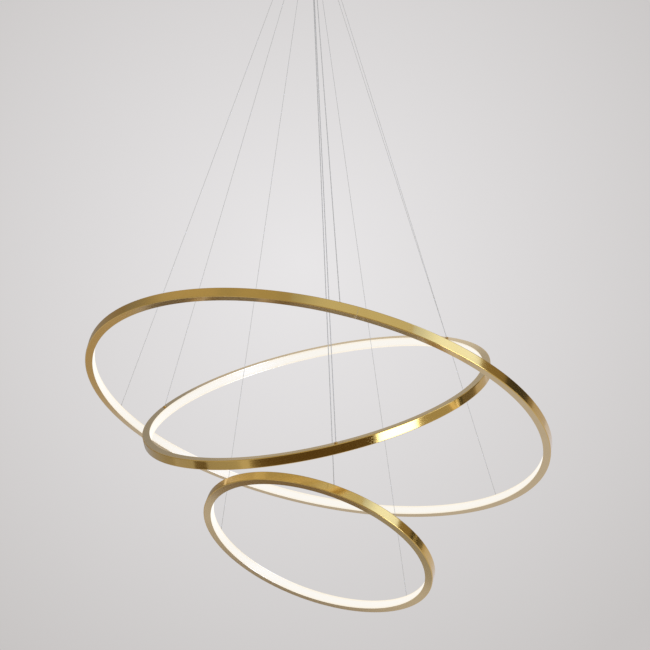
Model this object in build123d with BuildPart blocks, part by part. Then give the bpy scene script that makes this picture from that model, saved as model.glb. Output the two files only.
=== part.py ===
from build123d import *
from dataclasses import dataclass
from math import atan2, cos, degrees, radians, sin
import os

os.makedirs("parts", exist_ok=True)

# LED ring chandelier: three tilted rings, one inside and below the other, each on three thin
# wires that come together at a turning collar. The collars are stacked on one threaded tube
# under a round ceiling canopy. Millimetres and degrees, +Z up, the ceiling is the plane z = 0.

# --- Ring profile: a brass channel, open towards the ring's centre --------------------------
PROFILE_WIDTH = 13.0          # along the radius
PROFILE_HEIGHT = 16.0         # along the ring's own axis
PROFILE_WEB = 1.2             # the outer wall
PROFILE_FLANGE = 1.5          # top and bottom walls
MOUTH_LIP = 0.9               # the flanges are thinner where the diffuser sits
EDGE_RADIUS = 0.5             # outer edges of the channel
BUTT_GAP = 0.3                # hairline joint where the bent channel's two ends meet
DIFFUSER_DEPTH = 2.5
DIFFUSER_FIT = 0.05           # all round the opal strip
DIFFUSER_EDGE = 0.4

# --- Light source inside the channel --------------------------------------------------------
BACK_FILM = 0.1               # behind the board and the splice plate
BOARD_THICKNESS = 0.5
BOARD_HEIGHT = 10.0
LED_PITCH = 16.7
LED_DEPTH = 0.8
LED_LENGTH = 2.8
LED_HEIGHT = 3.5
LED_SEAT = 0.02               # solder film under each LED
SPLICE_LENGTH = 30.0
SPLICE_THICKNESS = 1.2
SPLICE_FIT = 0.1              # above and below the splice plate
BOARD_END_GAP = 2.0           # between the splice plate and the ends of the LED board
CONNECTOR_DEPTH = 4.0
CONNECTOR_LENGTH = 10.0
CONNECTOR_HEIGHT = 4.0

# --- Wires and the bushes that hold them in the ring's top wall -----------------------------
WIRE_COUNT = 3                # per ring; the second one carries the current
SUPPORT_WIRE_RADIUS = 0.4
POWER_CABLE_RADIUS = 0.75
BUSH_HEAD_RADIUS = 2.6
BUSH_HEAD_HEIGHT = 2.0
BUSH_HEAD_EDGE = 0.3
BUSH_SHANK_RADIUS = 1.5
BUSH_TAIL_RADIUS = 2.1
BUSH_TAIL_HEIGHT = 0.6
BUSH_HOLE_FIT = 0.05
WIRE_SEAT_HEIGHT = 1.0        # the wire ends this far above the ring's top face
WIRE_HOLE_FIT = 0.05

# --- The three rings -----------------------------------------------------------------------
# The drop runs from the underside of the ring's collar down to the ring's centre. The tilt
# leans the ring's axis towards the tilt azimuth, counted from +X towards +Y.
LARGE_DIAMETER = 800.0
LARGE_DROP = 921.0
LARGE_TILT = 17.7
LARGE_TILT_AZIMUTH = 42.2
LARGE_WIRE_ANGLE = 111.8      # first wire, round the ring from its lowest point
LARGE_SEAM_ANGLE = 236.0      # butt joint, counted the same way

MEDIUM_DIAMETER = 600.0
MEDIUM_DROP = 871.0
MEDIUM_TILT = 31.8
MEDIUM_TILT_AZIMUTH = -112.6
MEDIUM_WIRE_ANGLE = 265.7
MEDIUM_SEAM_ANGLE = 210.0

SMALL_DIAMETER = 400.0
SMALL_DROP = 1091.0
SMALL_TILT = 26.6
SMALL_TILT_AZIMUTH = 43.6
SMALL_WIRE_ANGLE = 110.5
SMALL_SEAM_ANGLE = 60.0

# --- Turning collars on the threaded tube ---------------------------------------------------
TUBE_RADIUS = 5.0
TUBE_BORE_RADIUS = 3.25
RUNNING_FIT = 0.05            # radial, for every bore that turns on a pin or on the tube
STACK_GAP = 0.3               # axial play of a collar between its neighbours
COLLAR_HEIGHT = 14.0
COLLAR_HUB_RADIUS = 8.5
COLLAR_FLANGE_RADIUS = 11.0
COLLAR_FLANGE_HEIGHT = 6.0
COLLAR_EDGE = 0.6
COLLAR_PITCH = 28.0
COLLAR_CLEARANCE = 11.0       # from the canopy's underside to the first collar
WIRE_CIRCLE_RADIUS = 8.0      # where the wires leave the collar's underside
WIRE_HOLE_DEPTH = 4.5
GRUB_RADIUS = 1.5
GRUB_SOCKET_RADIUS = 0.75
GRUB_SOCKET_DEPTH = 1.0
GRUB_RECESS = 0.2
SLEEVE_RADIUS = 6.5
LOCK_NUT_HEIGHT = 5.0
HEAD_NUT_RADIUS = 7.5
HEAD_NUT_HEIGHT = 4.0
NUT_SLOT_WIDTH = 1.6
NUT_SLOT_DEPTH = 1.0
TUBE_TAIL = 5.0               # of the tube, below the lock nut, inside the finial
FINIAL_RADIUS = 7.0
FINIAL_HEIGHT = 12.0
FINIAL_EDGE = 4.0

# --- Hanger: two crossed hinges, so that the light hangs plumb ------------------------------
FRONT_PIVOT_DEPTH = 17.0      # hinge along X, below the ceiling
SIDE_PIVOT_DEPTH = 30.0       # hinge along Y
PIN_RADIUS = 2.5
PIN_SEAT_FIT = 0.02
PIN_END = 2.0                 # beyond the cheeks
CHEEK_GAP = 0.3
CHEEK_THICKNESS = 2.5
CHEEK_WIDTH = 14.0
CHEEK_BELOW_PIN = 5.0
LINK_WIDTH = 16.0
LINK_BEYOND_PIN = 8.0
LINK_EDGE = 1.0
FORK_ABOVE_PIN = 6.0
FORK_BELOW_PIN = 19.0
FORK_WEB = 4.0
CLIP_RADIUS = 4.5
CLIP_THICKNESS = 0.8
BRACKET_LENGTH = 60.0
BRACKET_THICKNESS = 2.0
BRACKET_SCREW_SPACING = 44.0

# --- Ceiling plate and canopy ---------------------------------------------------------------
PLATE_RADIUS = 105.0
PLATE_THICKNESS = 2.0
CEILING_SLOT_SPACING = 80.0
CEILING_SLOT_LENGTH = 12.0
CEILING_SLOT_WIDTH = 5.5
TAB_COUNT = 3
TAB_FIRST_AZIMUTH = 30.0
TAB_WIDTH = 16.0
TAB_DROP = 16.0
TAB_THICKNESS = 2.0
TAB_TO_WALL = 1.3
CANOPY_RADIUS = 120.0
CANOPY_DEPTH = 55.0
CANOPY_WALL = 1.2
CANOPY_CORNER = 6.0
CANOPY_HOLE_RADIUS = 18.0
CANOPY_HOLE_LIP = 5.0
SIDE_SCREW_DEPTH = 9.0        # below the ceiling
SIDE_SCREW_RADIUS = 2.0
SIDE_SCREW_HOLE_FIT = 0.2
SIDE_SCREW_HEAD_RADIUS = 4.5
SIDE_SCREW_HEAD_HEIGHT = 4.0
SIDE_SCREW_GRIPS = 12
SIDE_SCREW_GRIP_RADIUS = 0.5

# --- Screws that hold the bracket and the drivers --------------------------------------------
BRACKET_SCREW_RADIUS = 2.0
BRACKET_SCREW_HEAD_RADIUS = 3.8
BRACKET_SCREW_HEAD_HEIGHT = 2.4
DRIVER_SCREW_RADIUS = 1.5
DRIVER_SCREW_HEAD_RADIUS = 3.0
DRIVER_SCREW_HEAD_HEIGHT = 2.0
SCREW_HOLE_FIT = 0.05
SCREW_SLOT_WIDTH = 0.9
SCREW_SLOT_DEPTH = 1.0

# --- LED drivers, terminal blocks and leads ---------------------------------------------------
DRIVER_OFFSET = 45.0          # from the canopy's axis to the driver's near side
DRIVER_EDGE = 3.0
DRIVER_BOTTOM_EDGE = 1.5
DRIVER_EAR_LENGTH = 8.0
DRIVER_EAR_WIDTH = 14.0
DRIVER_EAR_THICKNESS = 2.0
LARGE_DRIVER_LENGTH = 110.0
LARGE_DRIVER_WIDTH = 38.0
LARGE_DRIVER_HEIGHT = 26.0
MEDIUM_DRIVER_LENGTH = 98.0
MEDIUM_DRIVER_WIDTH = 36.0
MEDIUM_DRIVER_HEIGHT = 24.0
SMALL_DRIVER_LENGTH = 86.0
SMALL_DRIVER_WIDTH = 34.0
SMALL_DRIVER_HEIGHT = 22.0
LARGE_DRIVER_AZIMUTH = 90.0
MEDIUM_DRIVER_AZIMUTH = 210.0
SMALL_DRIVER_AZIMUTH = 330.0
BLOCK_LENGTH = 30.0
BLOCK_WIDTH = 16.0
BLOCK_HEIGHT = 16.0
BLOCK_EDGE = 1.0
BLOCK_POLES = 3
BLOCK_POLE_SPACING = 9.0
BLOCK_SCREW_WELL_RADIUS = 2.2
BLOCK_SCREW_WELL_DEPTH = 5.0
MAINS_BLOCK_Y = -42.0
OUTPUT_BLOCK_Y = 32.0
GROMMET_Y = -64.0
GROMMET_RADIUS = 7.0
GROMMET_FLANGE_RADIUS = 9.0
GROMMET_FLANGE_THICKNESS = 2.0
GROMMET_BORE_RADIUS = 4.0
LEAD_RADIUS = 1.6
MAINS_LEAD_DEPTH = 14.0       # below the ceiling
OUTPUT_LEAD_DEPTH = 8.0
LEAD_BEND = 6.0
LEAD_ALONG_DRIVER = 30.0      # where a lead enters the driver, from its middle
LARGE_LEAD_X = 24.0           # the one to the large driver passes this far beside the hanger
LEAD_SPREAD = 4.0             # of two leads on one side of the terminal block


@dataclass
class Ring:
    """One ring with its collar, its wires and its driver."""

    name: str
    diameter: float
    drop: float
    tilt: float
    tilt_azimuth: float
    wire_angle: float
    seam_angle: float
    storey: int               # its collar's place in the stack, from the top
    driver_size: tuple
    driver_azimuth: float

    @property
    def radius(self):
        return self.diameter / 2

    @property
    def collar_bottom(self):
        return first_collar_top - COLLAR_HEIGHT - self.storey * COLLAR_PITCH

    @property
    def plane(self):
        """The ring's middle plane; its local X points to the ring's lowest point."""
        lean, turn = radians(self.tilt), radians(self.tilt_azimuth)
        axis = Vector(sin(lean) * cos(turn), sin(lean) * sin(turn), cos(lean))
        lowest = Vector(cos(lean) * cos(turn), cos(lean) * sin(turn), -sin(lean))
        centre = Vector(0, 0, self.collar_bottom - self.drop)
        return Plane(origin=centre, x_dir=lowest, z_dir=axis)

    def outward(self, angle):
        """Direction from the ring's centre to a place on it."""
        plane = self.plane
        return plane.x_dir * cos(radians(angle)) + plane.y_dir * sin(radians(angle))

    def section_plane(self, angle):
        """Plane that cuts the ring's profile: X along the radius, Y along the ring's axis."""
        plane = self.plane
        return Plane(origin=plane.origin, x_dir=self.outward(angle),
                     z_dir=self.outward(angle).cross(plane.z_dir))

    @property
    def axis(self):
        return Axis(self.plane.origin, self.plane.z_dir)

    def wire_angles(self):
        return [self.wire_angle + 360 * turn / WIRE_COUNT for turn in range(WIRE_COUNT)]

    def bush_plane(self, angle):
        """Plane on the ring's top face where a wire is held."""
        middle = self.radius - PROFILE_WIDTH / 2
        plane = self.plane
        seat = plane.origin + self.outward(angle) * middle + plane.z_dir * (PROFILE_HEIGHT / 2)
        return Plane(origin=seat, x_dir=self.outward(angle), z_dir=plane.z_dir)

    def wire_line(self, angle):
        """Lower end, upper end at the collar's underside, and direction of one wire."""
        bush = self.bush_plane(angle)
        low = bush.origin + bush.z_dir * WIRE_SEAT_HEIGHT
        level = Vector(low.X, low.Y, 0).normalized() * WIRE_CIRCLE_RADIUS
        high = Vector(level.X, level.Y, self.collar_bottom)
        return low, high, (high - low).normalized()

    def wire_radius(self, index):
        return POWER_CABLE_RADIUS if index == 1 else SUPPORT_WIRE_RADIUS


first_collar_top = -(CANOPY_DEPTH + COLLAR_CLEARANCE)

RINGS = [
    Ring("large", LARGE_DIAMETER, LARGE_DROP, LARGE_TILT, LARGE_TILT_AZIMUTH, LARGE_WIRE_ANGLE,
         LARGE_SEAM_ANGLE, 0, (LARGE_DRIVER_LENGTH, LARGE_DRIVER_WIDTH, LARGE_DRIVER_HEIGHT),
         LARGE_DRIVER_AZIMUTH),
    Ring("medium", MEDIUM_DIAMETER, MEDIUM_DROP, MEDIUM_TILT, MEDIUM_TILT_AZIMUTH,
         MEDIUM_WIRE_ANGLE, MEDIUM_SEAM_ANGLE, 1,
         (MEDIUM_DRIVER_LENGTH, MEDIUM_DRIVER_WIDTH, MEDIUM_DRIVER_HEIGHT),
         MEDIUM_DRIVER_AZIMUTH),
    Ring("small", SMALL_DIAMETER, SMALL_DROP, SMALL_TILT, SMALL_TILT_AZIMUTH, SMALL_WIRE_ANGLE,
         SMALL_SEAM_ANGLE, 2, (SMALL_DRIVER_LENGTH, SMALL_DRIVER_WIDTH, SMALL_DRIVER_HEIGHT),
         SMALL_DRIVER_AZIMUTH),
]


def save(piece, label):
    piece.part.label = label
    export_step(piece.part, f"parts/{label}.step")


def arc_degrees(length, radius):
    return degrees(length / radius)


def radial_plane(radius, azimuth, height):
    """Upright plane at a distance from the vertical axis, facing outwards."""
    turn = radians(azimuth)
    return Plane(origin=(radius * cos(turn), radius * sin(turn), height),
                 x_dir=(-sin(turn), cos(turn), 0), z_dir=(cos(turn), sin(turn), 0))


# --- The ring: channel, diffuser, LED board, LEDs, splice plate and connector ------------------
def make_profile(ring):
    gap = arc_degrees(BUTT_GAP, ring.radius)
    inner = ring.radius - PROFILE_WIDTH
    mouth_height = PROFILE_HEIGHT - 2 * MOUTH_LIP
    room_height = PROFILE_HEIGHT - 2 * PROFILE_FLANGE
    with BuildPart() as profile:
        with BuildSketch(ring.section_plane(ring.seam_angle + gap / 2)):
            with Locations((inner, 0)):
                Rectangle(PROFILE_WIDTH, PROFILE_HEIGHT, align=(Align.MIN, Align.CENTER))
            outer_corners = vertices().group_by(Axis.X)[-1]
            fillet(outer_corners, EDGE_RADIUS)
            with Locations((inner, 0)):
                Rectangle(DIFFUSER_DEPTH + DIFFUSER_FIT, mouth_height,
                          align=(Align.MIN, Align.CENTER), mode=Mode.SUBTRACT)
                Rectangle(PROFILE_WIDTH - PROFILE_WEB, room_height,
                          align=(Align.MIN, Align.CENTER), mode=Mode.SUBTRACT)
        revolve(axis=ring.axis, revolution_arc=360 - gap)
        for angle in ring.wire_angles():
            with BuildSketch(ring.bush_plane(angle)):
                Circle(BUSH_SHANK_RADIUS + BUSH_HOLE_FIT)
            extrude(amount=-PROFILE_FLANGE - DIFFUSER_FIT, mode=Mode.SUBTRACT)
    save(profile, f"{ring.name}_ring_profile")


def make_diffuser(ring):
    height = PROFILE_HEIGHT - 2 * MOUTH_LIP - 2 * DIFFUSER_FIT
    with BuildPart() as diffuser:
        with BuildSketch(ring.section_plane(ring.seam_angle)):
            with Locations((ring.radius - PROFILE_WIDTH, 0)):
                Rectangle(DIFFUSER_DEPTH, height, align=(Align.MIN, Align.CENTER))
            inner_corners = vertices().group_by(Axis.X)[0]
            fillet(inner_corners, DIFFUSER_EDGE)
        revolve(axis=ring.axis, revolution_arc=360)
    save(diffuser, f"{ring.name}_diffuser")


def board_start(ring):
    """Half the arc that the LED board leaves free round the butt joint."""
    return arc_degrees(SPLICE_LENGTH / 2 + BOARD_END_GAP, ring.radius)


def make_led_board(ring):
    with BuildPart() as board:
        with BuildSketch(ring.section_plane(ring.seam_angle + board_start(ring))):
            with Locations((ring.radius - PROFILE_WEB - BACK_FILM, 0)):
                Rectangle(BOARD_THICKNESS, BOARD_HEIGHT, align=(Align.MAX, Align.CENTER))
        revolve(axis=ring.axis, revolution_arc=360 - 2 * board_start(ring))
    save(board, f"{ring.name}_led_board")


def make_leds(ring):
    face = ring.radius - PROFILE_WEB - BACK_FILM - BOARD_THICKNESS - LED_SEAT
    arc = 360 - 2 * board_start(ring)
    count = int(radians(arc) * face / LED_PITCH)
    step = arc / count
    first = ring.seam_angle + board_start(ring) + step / 2
    with BuildPart(ring.plane) as leds:
        with PolarLocations(face - LED_DEPTH / 2, count, start_angle=first,
                            angular_range=arc, endpoint=False):
            Box(LED_DEPTH, LED_LENGTH, LED_HEIGHT)
    save(leds, f"{ring.name}_leds")


def make_splice_plate(ring):
    arc = arc_degrees(SPLICE_LENGTH, ring.radius)
    height = PROFILE_HEIGHT - 2 * PROFILE_FLANGE - 2 * SPLICE_FIT
    with BuildPart() as plate:
        with BuildSketch(ring.section_plane(ring.seam_angle - arc / 2)):
            with Locations((ring.radius - PROFILE_WEB - BACK_FILM, 0)):
                Rectangle(SPLICE_THICKNESS, height, align=(Align.MAX, Align.CENTER))
        revolve(axis=ring.axis, revolution_arc=arc)
    save(plate, f"{ring.name}_splice_plate")


def make_connector(ring):
    """Feed connector under the bush of the current-carrying wire."""
    bush = ring.bush_plane(ring.wire_angles()[1])
    top = bush.offset(-PROFILE_FLANGE - BUSH_TAIL_HEIGHT)
    with BuildPart() as connector:
        with BuildSketch(top):
            RectangleRounded(CONNECTOR_DEPTH, CONNECTOR_LENGTH, LED_DEPTH)
        extrude(amount=-CONNECTOR_HEIGHT)
    save(connector, f"{ring.name}_feed_connector")


# --- Wires, their bushes, and the collar they hang from ----------------------------------------
def make_bushes(ring):
    with BuildPart() as bushes:
        for index, angle in enumerate(ring.wire_angles()):
            seat = ring.bush_plane(angle)
            with BuildSketch(seat):
                Circle(BUSH_HEAD_RADIUS)
            head = extrude(amount=BUSH_HEAD_HEIGHT)
            rim = head.edges().sort_by(Axis(seat.origin, seat.z_dir))[-1]
            chamfer(rim, BUSH_HEAD_EDGE)
            with BuildSketch(seat):
                Circle(BUSH_SHANK_RADIUS)
            extrude(amount=-PROFILE_FLANGE)
            with BuildSketch(seat.offset(-PROFILE_FLANGE)):
                Circle(BUSH_TAIL_RADIUS)
            extrude(amount=-BUSH_TAIL_HEIGHT)
            low, high, along = ring.wire_line(angle)
            with BuildSketch(Plane(origin=low, z_dir=along)):
                Circle(ring.wire_radius(index) + WIRE_HOLE_FIT)
            extrude(amount=2 * BUSH_HEAD_HEIGHT, mode=Mode.SUBTRACT)
    save(bushes, f"{ring.name}_wire_bushes")


def make_wires(ring, indices, label):
    with BuildPart() as wires:
        for index in indices:
            low, high, along = ring.wire_line(ring.wire_angles()[index])
            with BuildSketch(Plane(origin=low, z_dir=along)):
                Circle(ring.wire_radius(index))
            extrude(amount=(high - low).length + WIRE_HOLE_DEPTH)
    save(wires, label)


def grub_planes(ring):
    """For each wire: the screw's start and end, outwards from a plane on the wire's middle.

    The wire leans, so the edge of the screw's flat tip is what touches it.
    """
    for index, angle in enumerate(ring.wire_angles()):
        low, high, along = ring.wire_line(angle)
        crossing = high + along * (COLLAR_FLANGE_HEIGHT / 2 / along.Z)
        reach = Vector(crossing.X, crossing.Y, 0).length
        azimuth = degrees(atan2(crossing.Y, crossing.X))
        sideways = Vector(along.X, along.Y, 0).length
        tip = (ring.wire_radius(index) + WIRE_HOLE_FIT + GRUB_RADIUS * sideways) / along.Z
        yield index, tip, COLLAR_FLANGE_RADIUS - reach, radial_plane(reach, azimuth, crossing.Z)


def make_collar(ring):
    bottom = ring.collar_bottom
    with BuildPart() as collar:
        with BuildSketch(Plane.XZ):
            with Locations((0, bottom)):
                Rectangle(COLLAR_FLANGE_RADIUS, COLLAR_FLANGE_HEIGHT, align=Align.MIN)
                Rectangle(COLLAR_HUB_RADIUS, COLLAR_HEIGHT, align=Align.MIN)
            chamfer(vertices().group_by(Axis.X)[-1], COLLAR_EDGE)
            chamfer(vertices().group_by(Axis.Y)[-1].sort_by(Axis.X)[-1], COLLAR_EDGE)
            with Locations((0, bottom)):
                Rectangle(TUBE_RADIUS + RUNNING_FIT, COLLAR_HEIGHT, align=Align.MIN,
                          mode=Mode.SUBTRACT)
        revolve(axis=Axis.Z, revolution_arc=360)
        for index, tip, end, middle in grub_planes(ring):
            low, high, along = ring.wire_line(ring.wire_angles()[index])
            with BuildSketch(middle.offset(tip - SCREW_HOLE_FIT)):
                Circle(GRUB_RADIUS + SCREW_HOLE_FIT)
            extrude(amount=end, mode=Mode.SUBTRACT)
            with BuildSketch(Plane(origin=high - along, z_dir=along)):
                Circle(ring.wire_radius(index) + WIRE_HOLE_FIT)
            extrude(amount=1 + WIRE_HOLE_DEPTH + WIRE_HOLE_FIT, mode=Mode.SUBTRACT)
    save(collar, f"{ring.name}_collar")


def make_collar_screws(ring):
    with BuildPart() as screws:
        for index, tip, end, middle in grub_planes(ring):
            with BuildSketch(middle.offset(tip)):
                Circle(GRUB_RADIUS)
            extrude(amount=end - tip - GRUB_RECESS)
            with BuildSketch(middle.offset(end - GRUB_RECESS)):
                RegularPolygon(GRUB_SOCKET_RADIUS, 6)
            extrude(amount=-GRUB_SOCKET_DEPTH, mode=Mode.SUBTRACT)
    save(screws, f"{ring.name}_collar_screws")


def make_ring(ring):
    make_profile(ring)
    make_diffuser(ring)
    make_led_board(ring)
    make_leds(ring)
    make_splice_plate(ring)
    make_connector(ring)
    make_bushes(ring)
    make_wires(ring, (0, 2), f"{ring.name}_support_wires")
    make_wires(ring, (1,), f"{ring.name}_power_cable")
    make_collar(ring)
    make_collar_screws(ring)


# --- The stem: fork, threaded tube, sleeves between the collars, nuts and finial ---------------
fork_top = -SIDE_PIVOT_DEPTH + FORK_ABOVE_PIN
web_bottom = -SIDE_PIVOT_DEPTH - FORK_BELOW_PIN
web_top = web_bottom + FORK_WEB
cheek_inner = LINK_WIDTH / 2 + CHEEK_GAP
cheek_outer = cheek_inner + CHEEK_THICKNESS
last_collar_bottom = RINGS[-1].collar_bottom
lock_nut_top = last_collar_bottom - STACK_GAP
finial_top = lock_nut_top - LOCK_NUT_HEIGHT


def make_fork():
    with BuildPart() as fork:
        with BuildSketch(Plane.XY.offset(web_bottom)):
            Rectangle(CHEEK_WIDTH, 2 * cheek_outer)
        extrude(amount=fork_top - web_bottom)
        with BuildSketch(Plane.XY.offset(web_top)):
            Rectangle(CHEEK_WIDTH, 2 * cheek_inner)
        extrude(amount=fork_top - web_top, mode=Mode.SUBTRACT)
        top_corners = edges().filter_by(Axis.Y).group_by(Axis.Z)[-1]
        fillet(top_corners, FORK_ABOVE_PIN / 2)
        with BuildSketch(Plane.XZ.offset(-cheek_outer)):
            with Locations((0, -SIDE_PIVOT_DEPTH)):
                Circle(PIN_RADIUS + RUNNING_FIT)
        extrude(amount=2 * cheek_outer, mode=Mode.SUBTRACT)
        with BuildSketch(Plane.XY.offset(web_bottom)):
            Circle(TUBE_RADIUS + PIN_SEAT_FIT)
        extrude(amount=FORK_WEB, mode=Mode.SUBTRACT)
    save(fork, "swivel_fork")


def make_tube():
    top = web_top + HEAD_NUT_HEIGHT
    with BuildPart() as tube:
        with BuildSketch(Plane.XY.offset(finial_top - TUBE_TAIL)):
            Circle(TUBE_RADIUS)
            Circle(TUBE_BORE_RADIUS, mode=Mode.SUBTRACT)
        extrude(amount=top - finial_top + TUBE_TAIL)
    save(tube, "threaded_tube")


def make_round_nut(bottom, radius, height, label):
    """Round nut with four tool slots in its rim."""
    with BuildPart() as nut:
        with BuildSketch(Plane.XY.offset(bottom)):
            Circle(radius)
            Circle(TUBE_RADIUS + PIN_SEAT_FIT, mode=Mode.SUBTRACT)
            with PolarLocations(radius, 4):
                Rectangle(2 * NUT_SLOT_DEPTH, NUT_SLOT_WIDTH, mode=Mode.SUBTRACT)
        extrude(amount=height)
    save(nut, label)


def make_sleeves():
    """Tubes that keep the collars apart, one above each collar."""
    tops = [web_bottom] + [ring.collar_bottom - STACK_GAP for ring in RINGS[:-1]]
    with BuildPart() as sleeves:
        for ring, top in zip(RINGS, tops):
            bottom = ring.collar_bottom + COLLAR_HEIGHT + STACK_GAP
            with BuildSketch(Plane.XY.offset(bottom)):
                Circle(SLEEVE_RADIUS)
                Circle(TUBE_RADIUS + PIN_SEAT_FIT, mode=Mode.SUBTRACT)
            extrude(amount=top - bottom)
    save(sleeves, "spacer_sleeves")


def make_finial():
    with BuildPart() as finial:
        with BuildSketch(Plane.XZ):
            with Locations((0, finial_top)):
                Rectangle(FINIAL_RADIUS, FINIAL_HEIGHT, align=(Align.MIN, Align.MAX))
            fillet(vertices().group_by(Axis.X)[-1].sort_by(Axis.Y)[0], FINIAL_EDGE)
            with Locations((0, finial_top)):
                Rectangle(TUBE_RADIUS + PIN_SEAT_FIT, TUBE_TAIL + STACK_GAP,
                          align=(Align.MIN, Align.MAX), mode=Mode.SUBTRACT)
        revolve(axis=Axis.Z, revolution_arc=360)
    save(finial, "finial")


# --- The hanger: bracket, link, pins and clips -------------------------------------------------
plate_bottom = -PLATE_THICKNESS
pin_half_length = cheek_outer + PIN_END
front_pin_plane = Plane.YZ.offset(-pin_half_length)
side_pin_plane = Plane.XZ.offset(-pin_half_length)


def make_bracket():
    bottom = -FRONT_PIVOT_DEPTH - CHEEK_BELOW_PIN
    with BuildPart() as bracket:
        with BuildSketch(Plane.XY.offset(plate_bottom)):
            Rectangle(BRACKET_LENGTH, CHEEK_WIDTH)
            with Locations((-BRACKET_SCREW_SPACING / 2, 0), (BRACKET_SCREW_SPACING / 2, 0)):
                Circle(BRACKET_SCREW_RADIUS + SCREW_HOLE_FIT, mode=Mode.SUBTRACT)
        extrude(amount=-BRACKET_THICKNESS)
        with BuildSketch(Plane.XY.offset(plate_bottom)):
            with Locations((-cheek_outer, 0), (cheek_inner, 0)):
                Rectangle(CHEEK_THICKNESS, CHEEK_WIDTH, align=(Align.MIN, Align.CENTER))
        extrude(amount=bottom - plate_bottom)
        foot_corners = edges().filter_by(Axis.X).group_by(Axis.Z)[0]
        fillet(foot_corners, CHEEK_BELOW_PIN - CHEEK_GAP)
        with BuildSketch(Plane.YZ.offset(-cheek_outer)):
            with Locations((0, -FRONT_PIVOT_DEPTH)):
                Circle(PIN_RADIUS + RUNNING_FIT)
        extrude(amount=2 * cheek_outer, mode=Mode.SUBTRACT)
    save(bracket, "hanger_bracket")


def make_link():
    top = -FRONT_PIVOT_DEPTH + LINK_BEYOND_PIN
    bottom = -SIDE_PIVOT_DEPTH - LINK_BEYOND_PIN
    with BuildPart() as link:
        with BuildSketch(Plane.XY.offset(bottom)):
            Rectangle(LINK_WIDTH, LINK_WIDTH)
        extrude(amount=top - bottom)
        chamfer(edges(), LINK_EDGE)
        with BuildSketch(front_pin_plane):
            with Locations((0, -FRONT_PIVOT_DEPTH)):
                Circle(PIN_RADIUS + PIN_SEAT_FIT)
        extrude(amount=2 * pin_half_length, mode=Mode.SUBTRACT)
        with BuildSketch(side_pin_plane):
            with Locations((0, -SIDE_PIVOT_DEPTH)):
                Circle(PIN_RADIUS + PIN_SEAT_FIT)
        extrude(amount=2 * pin_half_length, mode=Mode.SUBTRACT)
    save(link, "gimbal_link")


def make_pins():
    with BuildPart() as pins:
        for plane, depth in ((front_pin_plane, FRONT_PIVOT_DEPTH),
                             (side_pin_plane, SIDE_PIVOT_DEPTH)):
            with BuildSketch(plane):
                with Locations((0, -depth)):
                    Circle(PIN_RADIUS)
            extrude(amount=2 * pin_half_length)
    save(pins, "gimbal_pins")


def make_clips():
    """Clips on both ends of both pins, just outside the cheeks."""
    seat = cheek_outer + CHEEK_GAP
    with BuildPart() as clips:
        for plane, depth in ((Plane.YZ, FRONT_PIVOT_DEPTH), (Plane.XZ, SIDE_PIVOT_DEPTH)):
            for start in (seat, -seat - CLIP_THICKNESS):
                with BuildSketch(plane.offset(start)):
                    with Locations((0, -depth)):
                        Circle(CLIP_RADIUS)
                        Circle(PIN_RADIUS + PIN_SEAT_FIT, mode=Mode.SUBTRACT)
                extrude(amount=CLIP_THICKNESS)
    save(clips, "pin_clips")


# --- The ceiling plate and the canopy ------------------------------------------------------------
tab_outer = CANOPY_RADIUS - CANOPY_WALL - TAB_TO_WALL


def tab_azimuths():
    return [TAB_FIRST_AZIMUTH + 360 * turn / TAB_COUNT for turn in range(TAB_COUNT)]


def driver_screw_places(ring):
    """Places of a driver's two screws, on the ceiling plate."""
    length, width, height = ring.driver_size
    turn = radians(ring.driver_azimuth)
    outward = Vector(cos(turn), sin(turn), 0)
    along = Vector(-sin(turn), cos(turn), 0)
    middle = outward * (DRIVER_OFFSET + width / 2)
    reach = along * (length / 2 + DRIVER_EAR_LENGTH / 2)
    return [middle - reach, middle + reach]


def make_plate():
    with BuildPart() as plate:
        with BuildSketch(Plane.XY.offset(plate_bottom)):
            Circle(PLATE_RADIUS)
            for azimuth in tab_azimuths():
                with Locations(Rotation(0, 0, azimuth)):
                    Rectangle(tab_outer, TAB_WIDTH, align=(Align.MIN, Align.CENTER))
            with Locations((-CEILING_SLOT_SPACING / 2, 0), (CEILING_SLOT_SPACING / 2, 0)):
                SlotOverall(CEILING_SLOT_LENGTH, CEILING_SLOT_WIDTH, mode=Mode.SUBTRACT)
            with Locations((0, GROMMET_Y)):
                Circle(GROMMET_RADIUS, mode=Mode.SUBTRACT)
            with Locations((-BRACKET_SCREW_SPACING / 2, 0), (BRACKET_SCREW_SPACING / 2, 0)):
                Circle(BRACKET_SCREW_RADIUS + SCREW_HOLE_FIT, mode=Mode.SUBTRACT)
            for ring in RINGS:
                with Locations(*driver_screw_places(ring)):
                    Circle(DRIVER_SCREW_RADIUS + SCREW_HOLE_FIT, mode=Mode.SUBTRACT)
        extrude(amount=PLATE_THICKNESS)
        for azimuth in tab_azimuths():
            with BuildSketch(radial_plane(tab_outer, azimuth, plate_bottom)):
                Rectangle(TAB_WIDTH, TAB_DROP - PLATE_THICKNESS,
                          align=(Align.CENTER, Align.MAX))
            extrude(amount=-TAB_THICKNESS)
            with BuildSketch(radial_plane(tab_outer, azimuth, -SIDE_SCREW_DEPTH)):
                Circle(SIDE_SCREW_RADIUS + SCREW_HOLE_FIT)
            extrude(amount=-TAB_THICKNESS, mode=Mode.SUBTRACT)
    save(plate, "mounting_plate")


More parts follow.
